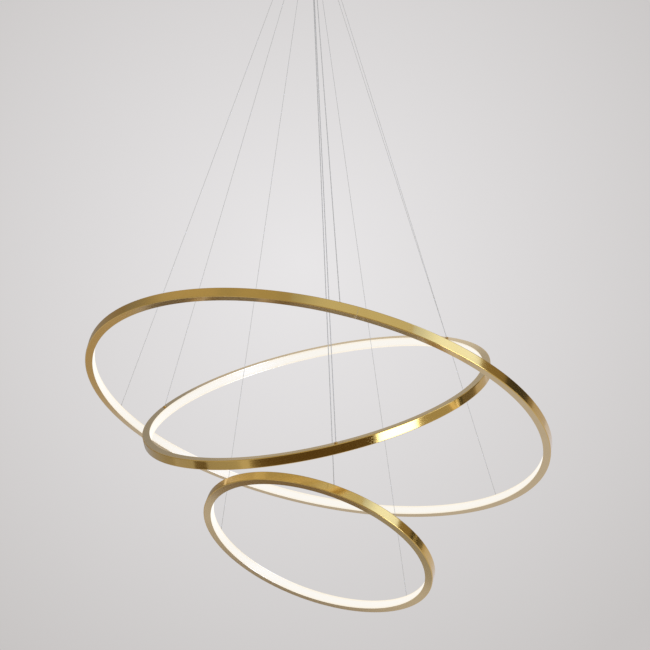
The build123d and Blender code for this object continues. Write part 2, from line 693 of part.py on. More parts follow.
def make_canopy():
    inner_radius = CANOPY_RADIUS - CANOPY_WALL
    lip_outer = CANOPY_HOLE_RADIUS + CANOPY_WALL
    with BuildPart() as canopy:
        with BuildSketch(Plane.XZ):
            Rectangle(CANOPY_RADIUS, CANOPY_DEPTH, align=(Align.MIN, Align.MAX))
            fillet(vertices().group_by(Axis.X)[-1].sort_by(Axis.Y)[0], CANOPY_CORNER)
            with BuildSketch(mode=Mode.SUBTRACT):
                Rectangle(inner_radius, CANOPY_DEPTH - CANOPY_WALL, align=(Align.MIN, Align.MAX))
                fillet(vertices().group_by(Axis.X)[-1].sort_by(Axis.Y)[0],
                       CANOPY_CORNER - CANOPY_WALL)
            with Locations((0, -CANOPY_DEPTH)):
                Rectangle(lip_outer, CANOPY_HOLE_LIP, align=Align.MIN)
                Rectangle(CANOPY_HOLE_RADIUS, CANOPY_HOLE_LIP, align=Align.MIN,
                          mode=Mode.SUBTRACT)
        revolve(axis=Axis.Z, revolution_arc=360)
        for azimuth in tab_azimuths():
            with BuildSketch(radial_plane(tab_outer, azimuth, -SIDE_SCREW_DEPTH)):
                Circle(SIDE_SCREW_RADIUS + SIDE_SCREW_HOLE_FIT)
            extrude(amount=CANOPY_RADIUS - tab_outer + 1, mode=Mode.SUBTRACT)
    save(canopy, "canopy_cover")


def make_side_screws():
    """Knurled screws that hold the canopy to the plate's tabs."""
    start = tab_outer - TAB_THICKNESS - 1
    with BuildPart() as screws:
        for azimuth in tab_azimuths():
            with BuildSketch(radial_plane(start, azimuth, -SIDE_SCREW_DEPTH)):
                Circle(SIDE_SCREW_RADIUS)
            extrude(amount=CANOPY_RADIUS - start)
            with BuildSketch(radial_plane(CANOPY_RADIUS, azimuth, -SIDE_SCREW_DEPTH)):
                Circle(SIDE_SCREW_HEAD_RADIUS)
                with PolarLocations(SIDE_SCREW_HEAD_RADIUS, SIDE_SCREW_GRIPS):
                    Circle(SIDE_SCREW_GRIP_RADIUS, mode=Mode.SUBTRACT)
            extrude(amount=SIDE_SCREW_HEAD_HEIGHT)
    save(screws, "canopy_screws")


def make_pan_screws(places, seat, shank_top, shank_radius, head_radius, head_height, label):
    """Slotted pan-head screws that go up from their seat."""
    with BuildPart() as screws:
        with BuildSketch(Plane.XY.offset(seat)):
            with Locations(*places):
                Circle(head_radius)
        extrude(amount=-head_height)
        with BuildSketch(Plane.XY.offset(seat)):
            with Locations(*places):
                Circle(shank_radius)
        extrude(amount=shank_top - seat)
        with BuildSketch(Plane.XY.offset(seat - head_height)):
            with Locations(*places):
                Rectangle(2 * head_radius, SCREW_SLOT_WIDTH)
        extrude(amount=SCREW_SLOT_DEPTH, mode=Mode.SUBTRACT)
    save(screws, label)


# --- Drivers, terminal blocks, grommet and leads --------------------------------------------------
def draw_driver(ring):
    """Outline of a driver's case on the ceiling plate."""
    length, width, height = ring.driver_size
    with Locations(Rotation(0, 0, ring.driver_azimuth)):
        with Locations((DRIVER_OFFSET + width / 2, 0)):
            RectangleRounded(width, length, DRIVER_EDGE)


def make_driver(ring):
    length, width, height = ring.driver_size
    with BuildPart() as driver:
        with BuildSketch(Plane.XY.offset(plate_bottom)):
            draw_driver(ring)
        extrude(amount=-height)
        chamfer(faces().sort_by(Axis.Z)[0].edges(), DRIVER_BOTTOM_EDGE)
        with BuildSketch(Plane.XY.offset(plate_bottom)):
            with Locations(Rotation(0, 0, ring.driver_azimuth)):
                with Locations((DRIVER_OFFSET + width / 2, 0)):
                    Rectangle(DRIVER_EAR_WIDTH, length + 2 * DRIVER_EAR_LENGTH)
        extrude(amount=-DRIVER_EAR_THICKNESS)
        with BuildSketch(Plane.XY.offset(plate_bottom)):
            with Locations(*driver_screw_places(ring)):
                Circle(DRIVER_SCREW_RADIUS + SCREW_HOLE_FIT)
        extrude(amount=-DRIVER_EAR_THICKNESS, mode=Mode.SUBTRACT)
    save(driver, f"{ring.name}_driver")


def make_block(y, label):
    """Terminal block with a row of screw wells in its underside."""
    with BuildPart() as block:
        with BuildSketch(Plane.XY.offset(plate_bottom)):
            with Locations((0, y)):
                RectangleRounded(BLOCK_LENGTH, BLOCK_WIDTH, BLOCK_EDGE)
        extrude(amount=-BLOCK_HEIGHT)
        with BuildSketch(Plane.XY.offset(plate_bottom - BLOCK_HEIGHT)):
            with Locations((0, y)):
                with GridLocations(BLOCK_POLE_SPACING, 0, BLOCK_POLES, 1):
                    Circle(BLOCK_SCREW_WELL_RADIUS)
        extrude(amount=BLOCK_SCREW_WELL_DEPTH, mode=Mode.SUBTRACT)
    save(block, label)


def make_grommet():
    with BuildPart() as grommet:
        with BuildSketch(Plane.XY.offset(plate_bottom - GROMMET_FLANGE_THICKNESS)):
            with Locations((0, GROMMET_Y)):
                Circle(GROMMET_FLANGE_RADIUS)
                Circle(GROMMET_BORE_RADIUS, mode=Mode.SUBTRACT)
        extrude(amount=GROMMET_FLANGE_THICKNESS)
        with BuildSketch(Plane.XY.offset(plate_bottom)):
            with Locations((0, GROMMET_Y)):
                Circle(GROMMET_RADIUS - PIN_SEAT_FIT)
                Circle(GROMMET_BORE_RADIUS, mode=Mode.SUBTRACT)
        extrude(amount=PLATE_THICKNESS)
    save(grommet, "mains_grommet")


def driver_entry(ring, along):
    """Place on the side of a driver that faces the axis."""
    turn = radians(ring.driver_azimuth)
    return (DRIVER_OFFSET * cos(turn) - along * sin(turn),
            DRIVER_OFFSET * sin(turn) + along * cos(turn))


def mains_routes():
    """From the terminal block to the inner side of each driver."""
    large, medium, small = RINGS
    near = MAINS_BLOCK_Y - LEAD_SPREAD
    far = MAINS_BLOCK_Y + LEAD_SPREAD
    return [[(0, near), driver_entry(small, -LEAD_ALONG_DRIVER)],
            [(0, near), driver_entry(medium, LEAD_ALONG_DRIVER)],
            [(0, far), (-LARGE_LEAD_X, far), driver_entry(large, LARGE_LEAD_X)]]


def output_routes():
    """From the output block to the inner side of each driver."""
    large, medium, small = RINGS
    start = (0, OUTPUT_BLOCK_Y + LEAD_SPREAD)
    return [[start, driver_entry(large, 0)],
            [start, driver_entry(medium, -LEAD_ALONG_DRIVER)],
            [start, driver_entry(small, LEAD_ALONG_DRIVER)]]


def make_leads(routes, depth, block_y, label):
    """Leads as routed, their ends cut flush with the block and the drivers."""
    with BuildPart() as leads:
        for route in routes:
            points = [Vector(x, y, -depth) for x, y in route]
            points[-1] += (points[-1] - points[-2]).normalized() * LEAD_BEND
            with BuildLine() as path:
                if len(points) > 2:
                    FilletPolyline(*points, radius=LEAD_BEND)
                else:
                    Line(*points)
            with BuildSketch(Plane(origin=points[0], z_dir=points[1] - points[0])):
                Circle(LEAD_RADIUS)
            sweep(path=path.line)
        with BuildSketch(Plane.XY.offset(plate_bottom)):
            with Locations((0, block_y)):
                Rectangle(BLOCK_LENGTH, BLOCK_WIDTH)
            for ring in RINGS:
                draw_driver(ring)
        extrude(amount=-2 * depth, mode=Mode.SUBTRACT)
    save(leads, label)


for ring in RINGS:
    make_ring(ring)
    make_driver(ring)
make_fork()
make_tube()
make_sleeves()
make_round_nut(web_top, HEAD_NUT_RADIUS, HEAD_NUT_HEIGHT, "head_nut")
make_round_nut(finial_top, SLEEVE_RADIUS, LOCK_NUT_HEIGHT, "lock_nut")
make_finial()
make_bracket()
make_link()
make_pins()
make_clips()
make_plate()
make_canopy()
make_side_screws()
make_pan_screws([(-BRACKET_SCREW_SPACING / 2, 0), (BRACKET_SCREW_SPACING / 2, 0)],
                plate_bottom - BRACKET_THICKNESS, plate_bottom + PLATE_THICKNESS,
                BRACKET_SCREW_RADIUS, BRACKET_SCREW_HEAD_RADIUS, BRACKET_SCREW_HEAD_HEIGHT,
                "bracket_screws")
make_pan_screws([place for ring in RINGS for place in driver_screw_places(ring)],
                plate_bottom - DRIVER_EAR_THICKNESS, plate_bottom + PLATE_THICKNESS,
                DRIVER_SCREW_RADIUS, DRIVER_SCREW_HEAD_RADIUS, DRIVER_SCREW_HEAD_HEIGHT,
                "driver_screws")
make_block(MAINS_BLOCK_Y, "mains_terminal_block")
make_block(OUTPUT_BLOCK_Y, "output_terminal_block")
make_grommet()
make_leads(mains_routes(), MAINS_LEAD_DEPTH, MAINS_BLOCK_Y, "mains_leads")
make_leads(output_routes(), OUTPUT_LEAD_DEPTH, OUTPUT_BLOCK_Y, "output_leads")
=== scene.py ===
# %% [markdown]
# # Dressing an LED ring chandelier
#
# The light hangs from a ceiling canopy: three brass rings, each lit on its inner side, each on
# three thin wires. The solid model is loaded as it is. Here it gets its finishes, smoother rings
# and stranded wires, a studio to hang in, and a camera that stands where the photographer stood.
#
# The frame comes first. It brings every solid in its place, in metres.

from dataclasses import dataclass
from math import cos, hypot, pi, radians, sin

import bpy
from mathutils import Matrix, Vector


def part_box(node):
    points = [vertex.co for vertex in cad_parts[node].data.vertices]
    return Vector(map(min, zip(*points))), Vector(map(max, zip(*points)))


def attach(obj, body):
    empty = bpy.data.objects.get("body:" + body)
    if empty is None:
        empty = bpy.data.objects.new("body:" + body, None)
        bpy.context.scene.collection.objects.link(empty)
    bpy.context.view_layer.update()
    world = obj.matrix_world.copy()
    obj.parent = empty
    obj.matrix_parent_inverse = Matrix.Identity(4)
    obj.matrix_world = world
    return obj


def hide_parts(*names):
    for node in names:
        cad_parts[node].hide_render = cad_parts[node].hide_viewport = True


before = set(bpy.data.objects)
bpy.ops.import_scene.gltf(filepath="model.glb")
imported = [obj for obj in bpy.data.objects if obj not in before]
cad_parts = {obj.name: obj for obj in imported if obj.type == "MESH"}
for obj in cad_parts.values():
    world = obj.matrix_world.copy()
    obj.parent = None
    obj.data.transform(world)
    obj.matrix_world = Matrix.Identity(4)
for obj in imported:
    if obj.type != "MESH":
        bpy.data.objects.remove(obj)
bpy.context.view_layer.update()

# %% [markdown]
# ## Millimetres and colours
#
# The sizes below are written in millimetres, as on a workshop drawing, and turned to Blender's
# metres by one constant. Colours are written as sRGB hex, as they look on a screen, and one
# function turns them to the linear values that a shader needs.

# %% Millimetres and colours
MM = 0.001


def linear(hex_colour):
    """sRGB hex, such as #C9A24E, to linear red, green, blue and alpha, by the sRGB curve."""
    parts = [int(hex_colour[i:i + 2], 16) / 255 for i in (1, 3, 5)]
    return [p / 12.92 if p <= 0.04045 else ((p + 0.055) / 1.055) ** 2.4 for p in parts] + [1.0]


print("gold as written and as a shader needs it:", linear("#C9A24E")[:3])

# %% [markdown]
# ## Nodes and pieces
#
# A finish could be clicked together in the shader editor. In a script, one small function adds a
# node with its settings and its links, so a finish reads as a list of what it is made of. Another
# turns corners and faces into a piece of the scene.

# %% Helpers for nodes and pieces
def add_node(tree, kind, settings=None, **sockets):
    """Adds a node with its settings. A socket is given by its name, with _ for a space, or by its
    number, as in _0. Another node's output is linked to it, anything else is set as its value."""
    node = tree.nodes.new(kind)
    for name, value in (settings or {}).items():
        setattr(node, name, value)
    for name, value in sockets.items():
        socket = node.inputs[int(name[1:]) if name.startswith("_") else name.replace("_", " ")]
        if isinstance(value, bpy.types.NodeSocket):
            tree.links.new(value, socket)
        else:
            socket.default_value = value
    return node


def new_finish(name):
    """A material and its node tree, still empty."""
    material = bpy.data.materials.new(name)
    material.use_nodes = True
    tree = material.node_tree
    tree.nodes.clear()
    return material, tree


def new_piece(name, vertices, faces, materials):
    """A piece of the scene, from its corners and faces."""
    mesh = bpy.data.meshes.new(name)
    mesh.from_pydata(vertices, [], faces)
    for material in materials:
        mesh.materials.append(material)
    piece = bpy.data.objects.new(name, mesh)
    bpy.context.collection.objects.link(piece)
    return piece


# %% [markdown]
# ## The camera
#
# The photographer stood low and looked up: the upper ring shows its underside, while the middle
# one, which leans towards the camera, shows its top. The lens is long, so the far side of a ring
# is hardly smaller than the near side. Place, tilt and focal length were fitted to the rims of
# all three rings.

# %% Camera
CAMERA_PLACE = Vector((0.0, -3718.0, -1846.6)) * MM
CAMERA_PITCH = radians(15.0)
CAMERA_YAW = radians(-0.25)
CAMERA_ROLL = radians(-0.83)
SENSOR_WIDTH = 36.0            # in mm, as is the focal length
FOCAL_PIXELS = 2259.9          # the fit gave the focal length in pixels of the picture
PICTURE_WIDTH = 650.0

view_direction = Vector((-sin(CAMERA_YAW) * cos(CAMERA_PITCH),
                         cos(CAMERA_YAW) * cos(CAMERA_PITCH), sin(CAMERA_PITCH)))
level_right = Vector((cos(CAMERA_YAW), sin(CAMERA_YAW), 0.0))
level_up = level_right.cross(view_direction)
camera_right = level_right * cos(CAMERA_ROLL) + level_up * sin(CAMERA_ROLL)
camera_up = level_up * cos(CAMERA_ROLL) - level_right * sin(CAMERA_ROLL)

lens = bpy.data.cameras.new("camera")
lens.sensor_width = SENSOR_WIDTH
lens.lens = FOCAL_PIXELS / PICTURE_WIDTH * SENSOR_WIDTH
camera = bpy.data.objects.new("camera", lens)
bpy.context.collection.objects.link(camera)
turn = Matrix((camera_right, camera_up, -view_direction)).transposed().to_4x4()
camera.matrix_world = Matrix.Translation(CAMERA_PLACE) @ turn
bpy.context.scene.camera = camera
bpy.context.scene.view_settings.view_transform = "Standard"
print("focal length:", round(lens.lens, 1), "mm")

# %% [markdown]
# ## Where each ring is
#
# A ring is described by its size, the height of its centre, how far it leans and which way, and
# where its first wire sits. The other wires follow a third of a turn apart. Their upper ends meet
# at a collar close to the stem. These are the same values as in the solid model.

# %% The three rings
PROFILE_WIDTH = 13.0 * MM
PROFILE_HEIGHT = 16.0 * MM
WIRE_SEAT = 1.0 * MM           # a wire ends this far above the ring's top face
WIRE_CIRCLE = 8.0 * MM         # radius on which the wires leave the collar
WIRE_HOLE = 4.5 * MM           # a wire goes this far up into the collar
WIRES_PER_RING = 3


@dataclass
class Ring:
    """Angles are in degrees. Those on the ring are counted from its lowest point."""
    name: str
    radius: float
    centre_height: float
    lean: float
    lean_azimuth: float
    first_wire: float
    joint_angle: float
    collar_height: float

    def directions(self):
        """Towards the ring's lowest point, a quarter turn further, and along its axis."""
        lean, azimuth = radians(self.lean), radians(self.lean_azimuth)
        lowest = Vector((cos(lean) * cos(azimuth), cos(lean) * sin(azimuth), -sin(lean)))
        axis = Vector((sin(lean) * cos(azimuth), sin(lean) * sin(azimuth), cos(lean)))
        return lowest, axis.cross(lowest), axis

    def place(self, angle, radius, height):
        """A point of the room, from its angle, radius and height on the ring."""
        lowest, quarter, axis = self.directions()
        turn = radians(angle)
        outward = lowest * cos(turn) + quarter * sin(turn)
        return Vector((0, 0, self.centre_height)) + outward * radius + axis * height

    def wire_ends(self, index):
        """A wire's low end on the ring and its high end in the collar."""
        angle = self.first_wire + 360 * index / WIRES_PER_RING
        low = self.place(angle, self.radius - PROFILE_WIDTH / 2, PROFILE_HEIGHT / 2 + WIRE_SEAT)
        level = hypot(low.x, low.y)
        high = Vector((low.x / level * WIRE_CIRCLE, low.y / level * WIRE_CIRCLE,
                       self.collar_height))
        return low, high + (high - low).normalized() * WIRE_HOLE


# Name, radius, height of the centre, lean, its azimuth, first wire, joint, height of the collar
RINGS = [
    Ring("large", 400 * MM, -1001 * MM, 17.7, 42.2, 111.8, 236.0, -80 * MM),
    Ring("medium", 300 * MM, -979 * MM, 31.8, -112.6, 265.7, 210.0, -108 * MM),
    Ring("small", 200 * MM, -1227 * MM, 26.6, 43.6, 110.5, 60.0, -136 * MM),
]
for ring in RINGS:
    low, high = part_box(f"{ring.name}_ring_profile")
    middle = (Vector(low) + Vector(high)) / 2
    print(ring.name, "centre in the solid model:", [round(v, 4) for v in middle])

# %% [markdown]
# ## Patterns at their real size
#
# Scratches, clouds and grain come from a noise that runs through the piece, as veins run through
# a stone. Its scale is a real one: each point's place is divided by the width of a scratch or of
# a cloud. On a ring the pattern has to go round with the metal, so there the place is taken on
# the ring's band, along the ring and across its section, as if it were unrolled.

# %% Where a pattern sits
def pattern_place(tree, sizes, source="Object"):
    """A point's place, counted in the pattern's sizes. The source is UV for a swept band."""
    place = add_node(tree, "ShaderNodeTexCoord").outputs[source]
    scale = [1 / size for size in sizes]
    return add_node(tree, "ShaderNodeMapping", Vector=place, Scale=scale).outputs["Vector"]


print("a 5 mm pattern repeats about", round(1 / (5 * MM)), "times in a metre")

# %% [markdown]
# ## Brass, polished and satin
#
# The rings are brass channel under a thin clear lacquer. A belt ran along their outer wall and
# polished it, so it mirrors the studio in patches whose ends are sharp while their long sides
# blur: the metal is smooth along the belt's lines and rougher across them. That is anisotropy.
# The top and bottom walls were rubbed satin with a finer grit, along the ring too. They blur
# what they mirror in the same way, and show it in a softer, paler tan. Both are one metal, so
# the two finishes differ in tint and in the width of their lines.

# %% Brass
LINE_LENGTH = 60               # a belt mark is this many times as long as it is wide
TURNED_LINE = 6                # and round a turned piece, this many times as long as it is high
TARNISH_CLOUD = 45 * MM        # the tint drifts a little over this length
ACROSS_THE_LINES = 0.25        # quarter of a turn: the shine spreads across the belt's lines
LACQUER_ROUGHNESS = 0.06       # sprayed lacquer is nearly as smooth as glass
LINE_STRENGTH = 0.25           # the lacquer fills most of each line
NOISE_LOW, NOISE_HIGH = 0.3, 0.7      # nearly all of a noise lies between these
SMOOTH_LINE, ROUGH_LINE = 0.8, 1.25   # from line to line, roughness differs by these factors


@dataclass
class BrassFinish:
    """Roughness, how much it differs along and across the lines, the lines' width and depth, and
    how much of the shine is the lacquer's."""
    roughness: float
    direction: float
    line_width: float
    line_depth: float
    lacquer: float


def make_brass(name, colour, worn_colour, finish, on_ring):
    """Brass whose lines run along the ring, or round the stem for a turned piece."""
    material, tree = new_finish(name)
    width = finish.line_width
    if on_ring:
        lines_at = pattern_place(tree, (LINE_LENGTH * width, width, 1), "UV")
        along = add_node(tree, "ShaderNodeTangent", {"direction_type": "UV_MAP",
                                                     "uv_map": "band"})
    else:
        lines_at = pattern_place(tree, (width, width, width / TURNED_LINE))
        along = add_node(tree, "ShaderNodeTangent", {"direction_type": "RADIAL", "axis": "Z"})
    lines = add_node(tree, "ShaderNodeTexNoise", Vector=lines_at, Scale=1.0, Detail=3.0,
                     Roughness=0.6)
    clouds_at = pattern_place(tree, (TARNISH_CLOUD,) * 3)
    clouds = add_node(tree, "ShaderNodeTexNoise", Vector=clouds_at, Scale=1.0, Detail=4.0)
    tint = add_node(tree, "ShaderNodeMix", {"data_type": "RGBA"}, Factor=clouds.outputs["Fac"],
                    _6=linear(colour), _7=linear(worn_colour))
    rough = add_node(tree, "ShaderNodeMapRange", Value=lines.outputs["Fac"],
                     From_Min=NOISE_LOW, From_Max=NOISE_HIGH,
                     To_Min=finish.roughness * SMOOTH_LINE,
                     To_Max=finish.roughness * ROUGH_LINE)
    bump = add_node(tree, "ShaderNodeBump", Height=lines.outputs["Fac"], Strength=LINE_STRENGTH,
                    Distance=finish.line_depth)
    shader = add_node(tree, "ShaderNodeBsdfPrincipled", Base_Color=tint.outputs[2], Metallic=1.0,
                      Roughness=rough.outputs["Result"], Normal=bump.outputs["Normal"],
                      Anisotropic=finish.direction, Anisotropic_Rotation=ACROSS_THE_LINES,
                      Tangent=along.outputs["Tangent"], Coat_Weight=finish.lacquer,
                      Coat_Roughness=LACQUER_ROUGHNESS)
    add_node(tree, "ShaderNodeOutputMaterial", Surface=shader.outputs["BSDF"])
    return material


print("a belt mark is drawn", LINE_LENGTH, "times as long as it is wide")

# %% [markdown]
# The same brass, finished in four ways. Its colour is a little greener than gold's, as in brass
# with a third of zinc. Real scratches are a few hundredths of a millimetre wide. These are drawn
# wider, as coarse as they need to be to show in the picture.

# %% Four finishes of brass
POLISHING_LINE = 0.9 * MM
SATIN_GRAIN = 0.7 * MM
TURNING_MARK = 0.4 * MM

# Belt polish gives the outer walls long liquid highlights, with a fine streak along the ring.
polished_brass = make_brass("polished_brass_channel", "#DDB45C", "#D4AA52",
                            BrassFinish(0.125, 0.75, POLISHING_LINE, 0.005 * MM, 0.35), True)
# Satin gives the top and bottom walls a paler, quieter tan, so that the ring's edge reads.
satin_brass = make_brass("satin_brass_channel", "#D8B97C", "#CEAF70",
                         BrassFinish(0.12, 0.8, SATIN_GRAIN, 0.006 * MM, 0.3), True)
# Spinning and rubbing give the canopy one broad upright sheen, which never gets sharp.
canopy_brass = make_brass("satin_spun_brass_canopy", "#D0AC66", "#C6A25C",
                          BrassFinish(0.32, 0.6, SATIN_GRAIN, 0.02 * MM, 0.5), False)
# Turning on a lathe gives collars, nuts and bushes small bright glints that go round them.
turned_brass = make_brass("turned_brass_fittings", "#D4AC5C", "#C69C4C",
                          BrassFinish(0.20, 0.5, TURNING_MARK, 0.02 * MM, 0.5), False)
print("brass finishes:", polished_brass.name, satin_brass.name, canopy_brass.name,
      turned_brass.name)

# %% [markdown]
# ## Opal acrylic, lit from behind
#
# The strip in the ring's mouth is extruded opal acrylic. The LEDs behind it are too close to be
# seen one by one, so the strip shines evenly, warm white, and a touch warmer at its two edges,
# where the channel's walls shade it. Light could be sent through it from each LED, which takes
# long to render and looks the same. So it is a light itself: an emitting surface with a thin
# glossy skin.

# %% Opal strip
STRIP_HEIGHT = 14.1 * MM
STRIP_GLOW = 0.83
EVEN_SHARE = 0.55              # the light is even over this share of the strip's half height
OPAL_CLOUD = 35 * MM           # extrusion leaves slight differences in gloss of this length


def make_opal():
    """Milky, evenly lit and slightly glossy: the eye sees one smooth band of light."""
    material, tree = new_finish("opal_acrylic_strip")
    band = add_node(tree, "ShaderNodeTexCoord").outputs["UV"]
    across = add_node(tree, "ShaderNodeSeparateXYZ", Vector=band).outputs["Y"]
    from_middle = add_node(tree, "ShaderNodeMath", {"operation": "ABSOLUTE"}, _0=across)
    share = add_node(tree, "ShaderNodeMath", {"operation": "DIVIDE"}, _0=from_middle.outputs[0],
                     _1=STRIP_HEIGHT / 2)
    ramp = add_node(tree, "ShaderNodeValToRGB", Fac=share.outputs[0])
    middle, edge = ramp.color_ramp.elements
    middle.position = EVEN_SHARE
    middle.color = linear("#FFFBF3")
    edge.position = 1.0
    edge.color = linear("#FFF5E2")
    cloud_at = pattern_place(tree, (OPAL_CLOUD, OPAL_CLOUD, 1), "UV")
    cloud = add_node(tree, "ShaderNodeTexNoise", Vector=cloud_at, Scale=1.0, Detail=2.0)
    rough = add_node(tree, "ShaderNodeMapRange", Value=cloud.outputs["Fac"], To_Min=0.30,
                     To_Max=0.40)
    shader = add_node(tree, "ShaderNodeBsdfPrincipled", Base_Color=linear("#6E6C68"),
                      Roughness=rough.outputs["Result"], IOR=1.49,
                      Emission_Color=ramp.outputs["Color"], Emission_Strength=STRIP_GLOW)
    add_node(tree, "ShaderNodeOutputMaterial", Surface=shader.outputs["BSDF"])
    return material


opal_strip = make_opal()
print("strip glow:", STRIP_GLOW)

# %% [markdown]
# The strip's edges leak light onto the brass lips beside it. In a picture the lips look nearly as
# white as the strip. That could be left to bounced light, but the lips are under a millimetre
# wide, and the few rays that find them leave noise. A glow of their own stands for it, a little
# weaker than the strip's.

# %% Lit lips
LIP_GLOW = 0.62
# The rubbing marks also vary the tint of the lips' painted glow.
WEAR_LENGTH, WEAR_WIDTH = 12 * MM, 1 * MM   # rubbing marks, along the ring and across it


def make_lit_lip():
    """Rubbed brass lips with a painted glow for the strip's leaked light: a soft rim that
    hides where the strip ends.
    """
    material, tree = new_finish("brass_lip_beside_the_strip")
    wear_and_glow_at = pattern_place(tree, (WEAR_LENGTH, WEAR_WIDTH, 1), "UV")
    wear_and_glow_tint = add_node(tree, "ShaderNodeTexNoise", Vector=wear_and_glow_at, Scale=1.0, Detail=3.0)
    rough = add_node(tree, "ShaderNodeMapRange", Value=wear_and_glow_tint.outputs["Fac"], To_Min=0.22,
                     To_Max=0.38)
    # Painted glow for the strip's leaked light, its tint varying with the rubbing marks.
    leak = add_node(tree, "ShaderNodeMix", {"data_type": "RGBA"}, Factor=wear_and_glow_tint.outputs["Fac"],
                    _6=linear("#FFF4E2"), _7=linear("#FFFAF0"))
    shader = add_node(tree, "ShaderNodeBsdfPrincipled", Base_Color=linear("#C9BFA6"),
                      Metallic=1.0, Roughness=rough.outputs["Result"],
                      Emission_Color=leak.outputs[2], Emission_Strength=LIP_GLOW)
    add_node(tree, "ShaderNodeOutputMaterial", Surface=shader.outputs["BSDF"])
    return material


lit_lip = make_lit_lip()
print("lip glow:", LIP_GLOW)

# %% [markdown]
# ## Smooth rings
#
# The solid's faces are flat facets once it is a mesh, and polished metal shows every facet. So
# each channel is drawn again: its cross-section is swept round in small steps. A curve with a
# bevel could do that too, but a mesh made here also knows, at each corner, its place along and
# across the band, and the polishing lines need that. The ends stop at the hairline joint.

# %% Sweep a cross-section round a ring
SWEEP_STEPS = 540
SHARP_EDGE = radians(35)       # edges that turn more than this stay crisp


def sweep_round(name, ring, section, materials, picks, gap, band_middle=0.0):
    """Sweeps a closed section, (radius, height) pairs, round the ring. Each side of the section
    picks its material. The gap is left open at the joint; without one the sweep is closed."""
    total = 2 * pi - gap / ring.radius
    start = radians(ring.joint_angle) + gap / ring.radius / 2
    lowest, quarter, axis = ring.directions()
    centre = Vector((0, 0, ring.centre_height))
    closed = gap == 0
    rows = SWEEP_STEPS if closed else SWEEP_STEPS + 1
    corners = len(section)
    vertices, faces, face_materials, face_places = [], [], [], []
    lengths = [-band_middle]
    for a, b in zip(section, section[1:] + section[:1]):
        lengths.append(lengths[-1] + hypot(b[0] - a[0], b[1] - a[1]))
    for row in range(rows):
        angle = start + total * row / SWEEP_STEPS
        outward = lowest * cos(angle) + quarter * sin(angle)
        vertices += [centre + outward * r + axis * h for r, h in section]
    for row in range(SWEEP_STEPS):
        here, there = row * corners, (row + 1) % rows * corners
        along = [total * ring.radius * (row + k) / SWEEP_STEPS for k in (0, 1)]
        for i in range(corners):
            j = (i + 1) % corners
            faces.append((here + i, there + i, there + j, here + j))
            face_materials.append(picks[i])
            face_places += [(along[0], lengths[i]), (along[1], lengths[i]),
                            (along[1], lengths[i + 1]), (along[0], lengths[i + 1])]
    if not closed:
        for row, order in ((0, 1), (rows - 1, -1)):
            faces.append(tuple(range(row * corners, (row + 1) * corners))[::order])
            face_materials.append(picks[0])
            face_places += [(0.0, 0.0)] * corners
    piece = new_piece(name, vertices, faces, materials)
    mesh = piece.data
    mesh.polygons.foreach_set("material_index", face_materials)
    band = mesh.uv_layers.new(name="band")
    band.data.foreach_set("uv", [value for pair in face_places for value in pair])
    mesh.shade_smooth()
    mesh.set_sharp_from_angle(angle=SHARP_EDGE)
    mesh.update()
    return piece


for ring in RINGS:
    print(ring.name, "step in mm:", round(2 * pi * ring.radius / SWEEP_STEPS / MM, 1))

# %% [markdown]
# ## The channel's section
#
# The channel is a C in section, open towards the ring's centre: an outer wall, two flanges, and a
# shallow step in each flange's end for the strip. Its outer corners are rounded as they are on
# extruded brass, and the flange ends only lightly broken. The outline is drawn once, from the
# lower outer corner upwards and round, and it tells for each side which finish that side has.

# %% Section of the channel
WALL = 1.2 * MM
FLANGE = 1.5 * MM
LIP = 0.9 * MM
STRIP_DEPTH = 2.5 * MM
STRIP_FIT = 0.05 * MM
CORNER_RADIUS = 1.3 * MM
LIP_RADIUS = 0.15 * MM
HOLDING_MARGIN = 0.2 * MM      # extra points here keep the shading of the flat walls flat
CORNER_STEPS, LIP_STEPS = 6, 2
POLISHED, SATIN, LIT = 0, 1, 2


def rounded_corner(centre, radius, first, last, steps):
    """Points of a corner's arc, from one direction to another, in degrees."""
    arc = [radians(first + (last - first) * k / steps) for k in range(steps + 1)]
    return [(centre[0] + radius * cos(a), centre[1] + radius * sin(a)) for a in arc]


def channel_section(ring):
    """Closed outline of the channel, and for each side which finish it has."""
    outer, top = ring.radius, PROFILE_HEIGHT / 2
    inner, room = outer - PROFILE_WIDTH, top - FLANGE
    step = inner + STRIP_DEPTH + STRIP_FIT
    held_height = top - CORNER_RADIUS - HOLDING_MARGIN
    held_radius = outer - CORNER_RADIUS - HOLDING_MARGIN
    points = rounded_corner((outer - CORNER_RADIUS, -top + CORNER_RADIUS), CORNER_RADIUS,
                            -90, 0, CORNER_STEPS)
    points += [(outer, -held_height), (outer, held_height)]
    points += rounded_corner((outer - CORNER_RADIUS, top - CORNER_RADIUS), CORNER_RADIUS,
                             0, 90, CORNER_STEPS)
    polished_sides = len(points) - 1
    points += [(held_radius, top), (inner + LIP_RADIUS + HOLDING_MARGIN, top)]
    points += rounded_corner((inner + LIP_RADIUS, top - LIP_RADIUS), LIP_RADIUS,
                             90, 180, LIP_STEPS)
    points += [(inner, top - LIP), (step, top - LIP), (step, room), (outer - WALL, room),
               (outer - WALL, -room), (step, -room), (step, -top + LIP), (inner, -top + LIP)]
    points += rounded_corner((inner + LIP_RADIUS, -top + LIP_RADIUS), LIP_RADIUS,
                             180, 270, LIP_STEPS)
    points += [(inner + LIP_RADIUS + HOLDING_MARGIN, -top), (held_radius, -top)]
    top_sides, lip_sides, inside_sides = 3, 4, 4
    picks = [POLISHED] * polished_sides + [SATIN] * top_sides + [LIT] * lip_sides
    picks += [SATIN] * inside_sides + [LIT] * lip_sides
    picks += [SATIN] * (len(points) - len(picks))
    return points, picks


print("corners of the channel's outline:", len(channel_section(RINGS[0])[0]))

# %% [markdown]
# ## Channels and strips
#
# The strip is a bar with its two visible edges rounded, pressed into the channel's mouth. It
# bends to a full circle, so it shows no joint. Both pieces ride on their ring's body and stand
# for the solids of the same shape.

